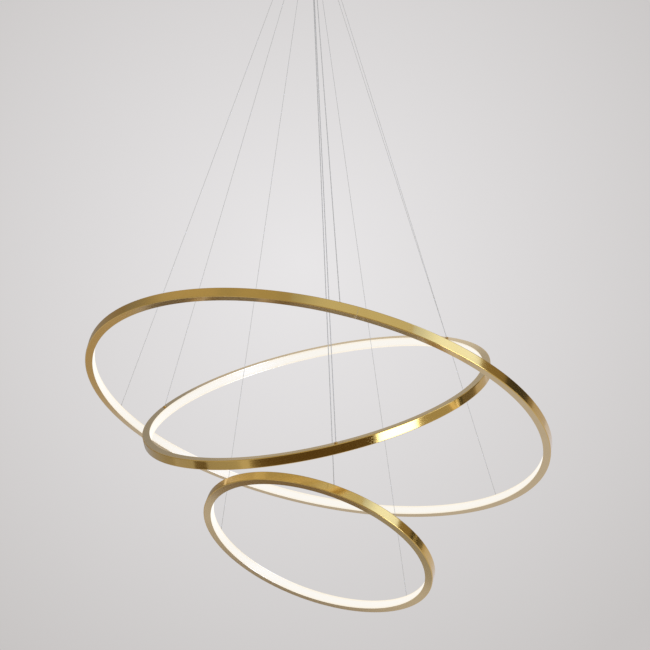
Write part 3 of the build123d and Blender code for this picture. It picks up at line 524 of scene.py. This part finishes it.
# %% Channels and strips
STRIP_RADIUS = 0.4 * MM
STRIP_STEPS = 3
JOINT_GAP = 0.3 * MM


def strip_section(ring):
    """Closed outline of the strip, and how far along it the middle of its lit face is."""
    inner, half = ring.radius - PROFILE_WIDTH, STRIP_HEIGHT / 2
    outer = inner + STRIP_DEPTH
    points = [(outer, -half), (outer, half)]
    points += rounded_corner((inner + STRIP_RADIUS, half - STRIP_RADIUS), STRIP_RADIUS,
                             90, 180, STRIP_STEPS)
    points += rounded_corner((inner + STRIP_RADIUS, -half + STRIP_RADIUS), STRIP_RADIUS,
                             180, 270, STRIP_STEPS)
    half_way_round = sum(hypot(b[0] - a[0], b[1] - a[1])
                         for a, b in zip(points, points[1:] + points[:1])) / 2
    return points, half_way_round + half


for ring in RINGS:
    body = f"{ring.name}_ring"
    section, picks = channel_section(ring)
    channel = sweep_round(f"{ring.name}_brass_channel", ring, section,
                          [polished_brass, satin_brass, lit_lip], picks, JOINT_GAP)
    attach(channel, body)
    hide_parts(f"{ring.name}_ring_profile")
    section, face_middle = strip_section(ring)
    strip = sweep_round(f"{ring.name}_opal_strip", ring, section, [opal_strip],
                        [0] * len(section), 0, face_middle)
    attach(strip, body)
    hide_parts(f"{ring.name}_diffuser")
    print(ring.name, "channel faces:", len(channel.data.polygons))

# %% [markdown]
# ## Skins of the wires
#
# Each ring hangs on steel wire rope under a millimetre thick, with a nylon skin drawn over it.
# The current comes down the third wire: two tinned cores side by side, in a clear sheath. Bare
# steel would mirror in hard sparks. Under the skin it does not, so both wires are plain pale
# plastics to the eye, the rope a little lighter than the cable.

# %% Wire finishes
def make_wire_skin(name, colours, roughness, patch):
    """A clear skin over bright metal, in two close greys, with a gloss that varies in patches."""
    material, tree = new_finish(name)
    patches = add_node(tree, "ShaderNodeTexNoise", Vector=pattern_place(tree, patch), Scale=1.0,
                       Detail=2.0)
    tint = add_node(tree, "ShaderNodeMix", {"data_type": "RGBA"}, Factor=patches.outputs["Fac"],
                    _6=linear(colours[0]), _7=linear(colours[1]))
    rough = add_node(tree, "ShaderNodeMapRange", Value=patches.outputs["Fac"],
                     To_Min=roughness[0], To_Max=roughness[1])
    shader = add_node(tree, "ShaderNodeBsdfPrincipled", Base_Color=tint.outputs[2],
                      Roughness=rough.outputs["Result"], IOR=1.53)
    add_node(tree, "ShaderNodeOutputMaterial", Surface=shader.outputs["BSDF"])
    return material


# Drawn nylon over bright strands: a thin silvery line whose gloss comes and goes.
rope_skin = make_wire_skin("nylon_coated_wire_rope", ("#C2C2C1", "#D2D2D0"), (0.35, 0.5),
                           (4 * MM, 4 * MM, 4 * MM))
# Extruded clear PVC over tinned cores: smoother, and a shade darker than the rope.
cable_sheath = make_wire_skin("clear_pvc_cable_sheath", ("#BABABB", "#CACACB"), (0.25, 0.38),
                              (5 * MM, 5 * MM, 3 * MM))
print("wire skins:", rope_skin.name, cable_sheath.name)

# %% [markdown]
# ## Stranded wires
#
# A rope's outline is not round but lobed, one lobe to each outer strand, and the lobes wind along
# it. So light runs along a rope in short dashes, and up close its edge is not quite straight. The
# twin cable has two lobes, and a longer turn. Both are drawn as a lobed section that is turned a
# little at each step on the way up. Each wire is a piece of its own, because it is a cord: taut
# and straight, with both its ends held by the light.

# %% Twist the wires
STEPS_PER_TURN = 12
CRISP_END = radians(60)        # the lobes shade smoothly, the cut ends stay crisp
CABLE_INDEX = 1                # the second wire of each ring carries the current


@dataclass
class Lay:
    """How a wire is laid: its radius, the lobes of its outline, the depth of the grooves between
    them, the length of one turn, and the corners that the outline is drawn with."""
    radius: float
    lobes: int
    groove: float
    pitch: float
    corners: int


ROPE = Lay(radius=0.4 * MM, lobes=6, groove=0.07 * MM, pitch=14 * MM, corners=18)
TWIN = Lay(radius=0.75 * MM, lobes=2, groove=0.12 * MM, pitch=22 * MM, corners=10)


def twist_wire(name, low, high, lay, skin):
    """A lobed rod from its low end to its high end, turned a little at each step."""
    sides = lay.corners
    along = (high - low).normalized()
    side = along.orthogonal().normalized()
    front = along.cross(side)
    length = (high - low).length
    rows = int(length / lay.pitch * STEPS_PER_TURN)
    vertices, faces = [], []
    for row in range(rows + 1):
        centre = low.lerp(high, row / rows)
        twist = 2 * pi * length / lay.pitch * row / rows
        for k in range(sides):
            angle = 2 * pi * k / sides
            reach = lay.radius - lay.groove * (1 - cos(lay.lobes * (angle - twist))) / 2
            vertices.append(centre + (side * cos(angle) + front * sin(angle)) * reach)
    for row in range(rows):
        for k in range(sides):
            a, b = row * sides + k, row * sides + (k + 1) % sides
            faces.append((a, b, b + sides, a + sides))
    faces.append(tuple(range(sides))[::-1])
    faces.append(tuple(range(rows * sides, (rows + 1) * sides)))
    wire = new_piece(name, vertices, faces, [skin])
    wire.data.shade_smooth()
    wire.data.set_sharp_from_angle(angle=CRISP_END)
    return wire


for ring in RINGS:
    for index in range(WIRES_PER_RING):
        low, high = ring.wire_ends(index)
        if index == CABLE_INDEX:
            lay = TWIN
            wire = twist_wire(f"{ring.name}_twin_cable", low, high, lay, cable_sheath)
            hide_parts(f"{ring.name}_power_cable")
        else:
            lay = ROPE
            wire = twist_wire(f"{ring.name}_wire_rope_{index + 1}", low, high, lay, rope_skin)
            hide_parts(f"{ring.name}_support_wires")
        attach(wire, f"{ring.name}_ring")
        print(wire.name, "length in mm:", round((high - low).length / MM))

# %% [markdown]
# ## Metals and plastics above the rings
#
# Inside and above the canopy are ordinary parts, plated, moulded and extruded. They are seen
# small or with the canopy off, so one recipe does for all: two close colours, a roughness and a
# shallow bump, all from one grain at its real scale. What tells them apart is the size of that
# grain, how deep it is, and whether the base is metal.

# %% Recipe for a plain finish
GRAIN_STRENGTH = 0.3
SMOOTH_GRAIN, ROUGH_GRAIN = 0.8, 1.2


def make_plain_finish(name, colour, second_colour, metallic, roughness, grain, depth, ior=1.5):
    """A finish of two close colours, its roughness and bump both from one grain."""
    material, tree = new_finish(name)
    grain_at = pattern_place(tree, (grain,) * 3)
    patches = add_node(tree, "ShaderNodeTexNoise", Vector=grain_at, Scale=1.0, Detail=5.0)
    tint = add_node(tree, "ShaderNodeMix", {"data_type": "RGBA"}, Factor=patches.outputs["Fac"],
                    _6=linear(colour), _7=linear(second_colour))
    rough = add_node(tree, "ShaderNodeMapRange", Value=patches.outputs["Fac"],
                     To_Min=roughness * SMOOTH_GRAIN, To_Max=roughness * ROUGH_GRAIN)
    bump = add_node(tree, "ShaderNodeBump", Height=patches.outputs["Fac"],
                    Strength=GRAIN_STRENGTH, Distance=depth)
    shader = add_node(tree, "ShaderNodeBsdfPrincipled", Base_Color=tint.outputs[2],
                      Metallic=metallic, Roughness=rough.outputs["Result"], IOR=ior,
                      Normal=bump.outputs["Normal"])
    add_node(tree, "ShaderNodeOutputMaterial", Surface=shader.outputs["BSDF"])
    return material


print("a grain's roughness differs by", SMOOTH_GRAIN, "to", ROUGH_GRAIN)

# %% [markdown]
# Each of these is named for what the real piece is made of, and starts from the usual values for
# that material. The comment above it says what the eye gets from it.

# %% Plated steel, plastics and rubber
# Electroplated zinc: cool grey with a faint spangle, half dull.
zinc_plate = make_plain_finish("zinc_plated_steel", "#B6B4B0", "#C6C4C0", 1.0, 0.35,
                               6 * MM, 0.02 * MM)
# Oil-blackened steel: dark screw heads with a soft shine on their edges.
black_steel = make_plain_finish("blackened_steel_screws", "#3A3835", "#4A4742", 1.0, 0.38,
                                1 * MM, 0.01 * MM)
# Polycarbonate from a spark-eroded mould: off-white, with an even, fine sparkle.
moulded_case = make_plain_finish("moulded_polycarbonate_case", "#EDEDE9", "#E4E4DF", 0.0, 0.5,
                                 0.8 * MM, 0.04 * MM, 1.58)
# Moulded polyamide: creamy white and a little waxy.
moulded_block = make_plain_finish("moulded_polyamide_block", "#EFEEE8", "#E6E4DC", 0.0, 0.42,
                                  1.2 * MM, 0.03 * MM, 1.53)
# Moulded rubber: a dull near-black that swallows the light.
grommet_rubber = make_plain_finish("moulded_rubber_grommet", "#1E1E1E", "#2A2A29", 0.0, 0.6,
                                   1.0 * MM, 0.04 * MM, 1.52)
# Extruded PVC: even colour and a soft line of shine along each lead.
grey_sheath = make_plain_finish("grey_pvc_lead", "#5C5D60", "#686A6C", 0.0, 0.45,
                                2 * MM, 0.02 * MM, 1.53)
red_sheath = make_plain_finish("red_pvc_lead", "#A03028", "#8C2A22", 0.0, 0.45,
                               2 * MM, 0.02 * MM, 1.53)
# Printed solder mask: a smooth, cool white that throws the LEDs' light back.
board_lacquer = make_plain_finish("white_solder_mask", "#EDEEEA", "#E2E4DE", 0.0, 0.4,
                                  3 * MM, 0.01 * MM, 1.55)
# Cast resin with phosphor: the small yellow squares of unlit LEDs.
led_phosphor = make_plain_finish("led_phosphor_resin", "#F2D76A", "#E8C850", 0.0, 0.35,
                                 1.5 * MM, 0.01 * MM, 1.5)
print("finishes so far:", len(bpy.data.materials))

# %% [markdown]
# ## Which node gets which finish
#
# Every solid that stays visible, or could be seen with the canopy off, gets a finish of its own
# here, by the last words of its name. Where two entries fit, the longer one is meant. The solids
# that were drawn again above have no entry.

# %% Finishes onto the solids
NODE_FINISHES = {
    "_led_board": board_lacquer,
    "_leds": led_phosphor,
    "_splice_plate": zinc_plate,
    "_feed_connector": moulded_block,
    "_wire_bushes": turned_brass,
    "_collar": turned_brass,
    "_collar_screws": black_steel,
    "_driver": moulded_case,
    "swivel_fork": turned_brass,
    "threaded_tube": turned_brass,
    "spacer_sleeves": turned_brass,
    "head_nut": zinc_plate,
    "lock_nut": turned_brass,
    "finial": turned_brass,
    "gimbal_link": turned_brass,
    "gimbal_pins": zinc_plate,
    "pin_clips": zinc_plate,
    "hanger_bracket": zinc_plate,
    "bracket_screws": zinc_plate,
    "driver_screws": zinc_plate,
    "mounting_plate": zinc_plate,
    "canopy_cover": canopy_brass,
    "canopy_screws": turned_brass,
    "_terminal_block": moulded_block,
    "mains_grommet": grommet_rubber,
    "mains_leads": grey_sheath,
    "output_leads": red_sheath,
}
for node_name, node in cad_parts.items():
    matches = [end for end in NODE_FINISHES if node_name.endswith(end)]
    if matches:
        finish = NODE_FINISHES[max(matches, key=len)]
        for material_slot in node.material_slots:
            material_slot.material = finish
    else:
        print("drawn again:", node_name)

# %% [markdown]
# ## The studio
#
# The picture was made against a pale backdrop that is lightest behind the lamp. That is done in
# the world shader: rays from the camera, and rays mirrored by metal, see the backdrop's colour,
# and everything else is lit by an even soft white. The gradient is fixed in the room, round the
# direction in which the photographer looked.

# %% Backdrop
BACKDROP_MIDDLE = "#E8E6E7"
BACKDROP_EDGE = "#C8C5C4"
LIGHTEST_UP, LIGHTEST_LEFT = 0.027, 0.009   # from the middle of the view, as tangents
EDGE_ANGLE = radians(12.2)
FALL_OFF = 0.55                # of one minus the cosine: the light falls off almost evenly
ROOM_LIGHT = 0.85

lightest = view_direction + camera_up * LIGHTEST_UP - camera_right * LIGHTEST_LEFT
world = bpy.data.worlds.new("pale_backdrop")
world.use_nodes = True
bpy.context.scene.world = world
tree = world.node_tree
tree.nodes.clear()
room_direction = add_node(tree, "ShaderNodeTexCoord").outputs["Generated"]
nearness = add_node(tree, "ShaderNodeVectorMath", {"operation": "DOT_PRODUCT"},
                    _0=room_direction, _1=lightest.normalized())
distance = add_node(tree, "ShaderNodeMapRange", Value=nearness.outputs["Value"],
                    From_Min=1.0, From_Max=cos(EDGE_ANGLE), To_Min=0.0, To_Max=1.0)
fade = add_node(tree, "ShaderNodeMath", {"operation": "POWER"}, _0=distance.outputs["Result"],
                _1=FALL_OFF)
backdrop = add_node(tree, "ShaderNodeMix", {"data_type": "RGBA"}, Factor=fade.outputs[0],
                    _6=linear(BACKDROP_MIDDLE), _7=linear(BACKDROP_EDGE))
path = add_node(tree, "ShaderNodeLightPath").outputs
seen = add_node(tree, "ShaderNodeMath", {"operation": "MAXIMUM"}, _0=path["Is Camera Ray"],
                _1=path["Is Glossy Ray"])
seen = add_node(tree, "ShaderNodeMath", {"operation": "MAXIMUM"}, _0=seen.outputs[0],
                _1=path["Is Transmission Ray"])
shown = add_node(tree, "ShaderNodeBackground", Color=backdrop.outputs[2], Strength=1.0)
lighting = add_node(tree, "ShaderNodeBackground", Color=linear("#FFFFFF"), Strength=ROOM_LIGHT)
both = add_node(tree, "ShaderNodeMixShader", Fac=seen.outputs[0], _1=lighting.outputs[0],
                _2=shown.outputs[0])
add_node(tree, "ShaderNodeOutputWorld", Surface=both.outputs[0])
print("backdrop from", BACKDROP_MIDDLE, "to", BACKDROP_EDGE)

# %% [markdown]
# ## The floor
#
# The studio is a tall one and its floor is far below the lamp, outside the picture, so that the
# light can also be looked at from underneath. The floor is pale and plain but for a painted pool
# of light round the lamp's foot. With distance it turns to the backdrop's colour, which hides the
# line where the two meet.

# %% Floor
FLOOR_LEVEL = -7500 * MM
FLOOR_SIZE = 80.0              # in metres, as are the next three
FLOOR_PATCH = 0.5
# A painted pool of light: the paint is lighter round the lamp's foot and fades to the backdrop's
# colour further out.
PAINTED_POOL_RADIUS = 4.0              # the floor is lightest up to here
POOL_FADE_RADIUS = 14.0             # and has the backdrop's colour from here on


def make_floor_paint():
    """Matt paint, rolled on, with no shine at all, so that the lamp's soft shadow shows on it
    beside a painted pool of light round the lamp's foot.
    """
    material, tree = new_finish("pale_floor_paint")
    patches_at = pattern_place(tree, (FLOOR_PATCH,) * 3)
    patches = add_node(tree, "ShaderNodeTexNoise", Vector=patches_at, Scale=1.0, Detail=3.0)
    near = add_node(tree, "ShaderNodeMix", {"data_type": "RGBA"}, Factor=patches.outputs["Fac"],
                    _6=linear("#DEDCDB"), _7=linear("#E0DEDD"))
    spot = add_node(tree, "ShaderNodeTexCoord").outputs["Object"]
    level = add_node(tree, "ShaderNodeVectorMath", {"operation": "MULTIPLY"}, _0=spot,
                     _1=(1, 1, 0))
    reach = add_node(tree, "ShaderNodeVectorMath", {"operation": "LENGTH"},
                     _0=level.outputs["Vector"])
    # Painted pool of light, from the lighter paint at the lamp's foot to the backdrop's colour.
    pool_fade = add_node(tree, "ShaderNodeMapRange", {"interpolation_type": "SMOOTHSTEP"},
                    Value=reach.outputs["Value"], From_Min=PAINTED_POOL_RADIUS, From_Max=POOL_FADE_RADIUS)
    paint = add_node(tree, "ShaderNodeMix", {"data_type": "RGBA"}, Factor=pool_fade.outputs["Result"],
                     _6=near.outputs[2], _7=linear("#D7D5D4"))
    shader = add_node(tree, "ShaderNodeBsdfPrincipled", Base_Color=paint.outputs[2],
                      Roughness=0.9, Specular_IOR_Level=0.0)
    add_node(tree, "ShaderNodeOutputMaterial", Surface=shader.outputs["BSDF"])
    return material


half = FLOOR_SIZE / 2
floor = new_piece("studio_floor",
                  [(-half, -half, FLOOR_LEVEL), (half, -half, FLOOR_LEVEL),
                   (half, half, FLOOR_LEVEL), (-half, half, FLOOR_LEVEL)],
                  [(0, 1, 2, 3)], [make_floor_paint()])
print("floor at", FLOOR_LEVEL, "m")

# %% [markdown]
# ## Cards round the lamp
#
# Polished brass has no look of its own: it shows what stands round it. A product studio therefore
# puts white strips and black flags where the curved metal mirrors them, and does the same here.
# A card is a piece that glows weakly in its own grey. It is bent round the lamp, and placed by
# the direction in which it is seen from there, because that is what a mirror picks. Lamps could
# give the highlights instead, but a lamp can't give metal a dark or a tan stretch.

# %% Card paint
FADE_WIDTH = 0.45              # share of a card's width over which its left side fades


def make_card_paint(name, colour, strength, left_side=1.0):
    """A card that glows evenly, or that fades to a share of its light at its left side."""
    material, tree = new_finish(name)
    on_card = add_node(tree, "ShaderNodeTexCoord").outputs["UV"]
    from_left = add_node(tree, "ShaderNodeSeparateXYZ", Vector=on_card).outputs["X"]
    shade = add_node(tree, "ShaderNodeMapRange", {"interpolation_type": "SMOOTHSTEP"},
                     Value=from_left, From_Min=0.0, From_Max=FADE_WIDTH,
                     To_Min=strength * left_side, To_Max=strength)
    glow = add_node(tree, "ShaderNodeEmission", Color=linear(colour),
                    Strength=shade.outputs["Result"])
    add_node(tree, "ShaderNodeOutputMaterial", Surface=glow.outputs["Emission"])
    return material


# Daylight softboxes are bluish, and yellow metal gives that back as cream: the highlights.
softbox_cloth = make_card_paint("softbox_cloth", "#A6BEFF", 3.35, 0.62)
low_softbox_cloth = make_card_paint("low_softbox_cloth", "#B8CCFF", 9.0)
sky_card = make_card_paint("sky_card", "#D5E2FF", 1.1, 0.6)
gap_light = make_card_paint("gap_light", "#FFFFFF", 2.0)
# White and pale cards give the light, even stretches of gold.
white_card = make_card_paint("white_card", "#FFFFFF", 0.72)
bright_card = make_card_paint("bright_card", "#FFFFFF", 0.85)
pale_card = make_card_paint("pale_card", "#F0F2FF", 0.80)
# Grey ones give the deeper gold, and a warm grey the brown in it.
grey_card = make_card_paint("grey_card", "#FFF0D6", 0.30)
middle_grey_card = make_card_paint("middle_grey_card", "#FFFFFF", 0.38)
light_grey_card = make_card_paint("light_grey_card", "#FFFFFF", 0.48)
fading_grey_card = make_card_paint("fading_grey_card", "#FFFFFF", 0.48, 0.62)
# A black flag gives the dark band beside a highlight, which makes the metal look polished.
black_flag = make_card_paint("black_flag", "#FFFFFF", 0.06)
print("strongest card:", low_softbox_cloth.name)

# %% [markdown]
# ## Hanging the cards
#
# A softbox stands high on the right of the camera and a smaller one low beside it. A black flag
# hangs next to them, further to the right, with grey wings. Plain grey and white cards close the
# other sides. All of them are shown to mirrored rays alone, so they neither show in the picture
# nor shade the lamp.

# %% Cards and flags
LAMP_MIDDLE = Vector((0.0, 0.0, -1.05))
CARD_STEPS = 12
FAR_CARDS = 4.0                # metres from the lamp's middle
IN_FRONT = FAR_CARDS - 0.1     # for a card that covers part of another
BEHIND = FAR_CARDS + 0.1
LOW_CARDS = 2.0                # near enough to stay above the sheet that lies under the lamp


def show_to_mirrors_only(card):
    card.visible_camera = False
    card.visible_diffuse = False
    card.visible_transmission = False
    card.visible_shadow = False


def towards(azimuth, elevation):
    """The direction of an azimuth and an elevation in degrees; the camera is at azimuth -90."""
    flat = cos(radians(elevation))
    return Vector((cos(radians(azimuth)) * flat, sin(radians(azimuth)) * flat,
                   sin(radians(elevation))))


def hang_card(name, corners, distance, paint):
    """A card bent round the lamp, from its lower left, lower right, upper right and upper left
    corner, each an azimuth and an elevation in degrees as seen from the lamp's middle."""
    low_left, low_right, high_right, high_left = [Vector(corner) for corner in corners]
    shares = [step / CARD_STEPS for step in range(CARD_STEPS + 1)]
    vertices, places, faces = [], [], []
    for up in shares:
        for across in shares:
            spot = low_left.lerp(low_right, across).lerp(high_left.lerp(high_right, across), up)
            vertices.append(LAMP_MIDDLE + towards(*spot) * distance)
            places.append((across, up))
    row = CARD_STEPS + 1
    for corner in range(CARD_STEPS * row):
        if corner % row < CARD_STEPS:
            faces.append((corner, corner + 1, corner + row + 1, corner + row))
    card = new_piece(name, vertices, faces, [paint])
    across_card = card.data.uv_layers.new(name="card")
    for loop in card.data.loops:
        across_card.data[loop.index].uv = places[loop.vertex_index]
    show_to_mirrors_only(card)


CARDS = [
    ("tall_softbox", [(-44, 12), (-10, 3), (-10, 48), (-44, 48)], FAR_CARDS, softbox_cloth),
    ("low_softbox", [(-47.5, -37), (-23.5, -37), (-23.5, -8), (-47.5, -8)], LOW_CARDS,
     low_softbox_cloth),
    ("side_card", [(-9, 1), (5, 1), (8, 12), (-9, 50)], FAR_CARDS, grey_card),
    ("low_side_card", [(-22, -20), (4, -20), (4, -2), (-22, -4)], FAR_CARDS, light_grey_card),
    ("side_flag", [(5, -1), (25, -1), (24, 50), (9, 50)], FAR_CARDS, black_flag),
    ("flag_wing", [(24, 4), (28.5, 4), (28.5, 14), (24, 14)], FAR_CARDS, grey_card),
    ("gap_between_cards", [(7.2, -2.4), (11.2, -2.4), (11.2, 0.6), (7.2, 0.6)], IN_FRONT,
     gap_light),
    ("flag_foot", [(12.2, 2.6), (18.2, 3.6), (18.2, 5.4), (12.2, 4.4)], IN_FRONT, grey_card),
    ("flag_hem", [(16.5, 4.4), (28.5, 7.0), (28.5, 9.2), (16.5, 6.0)], IN_FRONT, grey_card),
    ("front_card", [(-110, 20), (-45, 20), (-45, 58), (-110, 58)], BEHIND, sky_card),
    ("left_card", [(152, -10), (258, -10), (258, 44.5), (152, 36)], FAR_CARDS,
     fading_grey_card),
    ("left_flag", [(94, 9), (152, 9), (152, 36), (94, 28)], FAR_CARDS, grey_card),
    ("left_low_card", [(94, -8), (152, -16), (152, 9), (94, 9)], FAR_CARDS, middle_grey_card),
    ("right_low_card", [(29, -8), (85, -8), (85, 7), (29, 5)], FAR_CARDS, pale_card),
    ("right_card", [(46, 4), (75, 5), (75, 11), (46, 15.5)], IN_FRONT, pale_card),
    ("back_card", [(60, 43), (105, 43), (105, 62), (60, 62)], FAR_CARDS, bright_card),
    ("high_card", [(-182, 44.5), (-110, 44.5), (-110, 62), (-182, 62)], FAR_CARDS, white_card),
    ("back_left_card", [(106, 28), (150, 36), (150, 62), (106, 62)], FAR_CARDS,
     middle_grey_card),
]
for name, corners, distance, paint in CARDS:
    hang_card(name, corners, distance, paint)
print("cards:", len(CARDS))

# %% [markdown]
# ## Sheets and cloths
#
# The bottom walls look down. Under the lamp lies a white sheet with cloths on it, where a wall
# has to go darker or browner, and above the canopy hangs a grey sheet. Like the cards, they show
# in mirrored rays alone.

# %% Sheets and cloths
SHEET_HEIGHT = -2300 * MM
CLOTH_HEIGHT = SHEET_HEIGHT + 20 * MM
UPPER_CLOTH_HEIGHT = CLOTH_HEIGHT + 10 * MM
CEILING_SHEET_HEIGHT = 200 * MM


def lay_sheet(name, corners, height, paint):
    """A level sheet, from its corners in metres, seen from above."""
    sheet = new_piece(name, [(x, y, height) for x, y in corners], [(0, 1, 2, 3)], [paint])
    sheet.data.uv_layers.new(name="card")
    show_to_mirrors_only(sheet)


# A cool white sheet keeps the bottom walls light, and a grey cloth takes a little off that.
# Tan leads over to the dark parts, where warm dim and dark cloths turn the metal deep brown.
white_sheet = make_card_paint("white_sheet", "#E4E9FF", 0.86)
grey_cloth = make_card_paint("grey_cloth", "#E4E9FF", 0.60)
tan_cloth = make_card_paint("tan_cloth", "#F2DDB4", 0.60)
dim_cloth = make_card_paint("dim_cloth", "#FFDCA8", 0.20)
dark_cloth = make_card_paint("dark_cloth", "#FFDCA8", 0.12)

SHEETS = [
    ("floor_sheet", [(-7, -7), (7, -7), (7, 7), (-7, 7)], SHEET_HEIGHT, white_sheet),
    ("front_cloth", [(-1.15, -2.30), (1.40, -2.30), (1.40, -0.76), (-1.15, -0.76)],
     CLOTH_HEIGHT, dark_cloth),
    ("back_cloth", [(-0.94, 1.45), (-0.18, 1.26), (-0.18, 1.76), (-0.94, 1.96)],
     CLOTH_HEIGHT, dark_cloth),
    ("middle_cloth", [(-0.90, 0.45), (-0.38, 0.45), (-0.38, 1.04), (-0.90, 1.24)],
     CLOTH_HEIGHT, dim_cloth),
    ("grey_middle_cloth", [(-0.38, 0.45), (-0.10, 0.45), (-0.10, 1.04), (-0.38, 1.04)],
     CLOTH_HEIGHT, middle_grey_card),
    ("tan_cloth", [(-1.35, 1.45), (-0.96, 1.40), (-0.96, 2.20), (-1.35, 2.30)],
     CLOTH_HEIGHT, tan_cloth),
    ("left_cloth", [(-7.0, -0.7), (-1.3, -0.7), (-1.3, 0.9), (-7.0, 3.6)],
     CLOTH_HEIGHT, grey_cloth),
    ("small_cloth", [(-2.80, 0.27), (-2.30, -0.18), (-2.05, 0.12), (-2.55, 0.62)],
     UPPER_CLOTH_HEIGHT, dark_cloth),
    ("ceiling_sheet", [(-1.1, -1.1), (1.1, -1.1), (1.1, 1.1), (-1.1, 1.1)],
     CEILING_SHEET_HEIGHT, light_grey_card),
]
for name, corners, height, paint in SHEETS:
    lay_sheet(name, corners, height, paint)
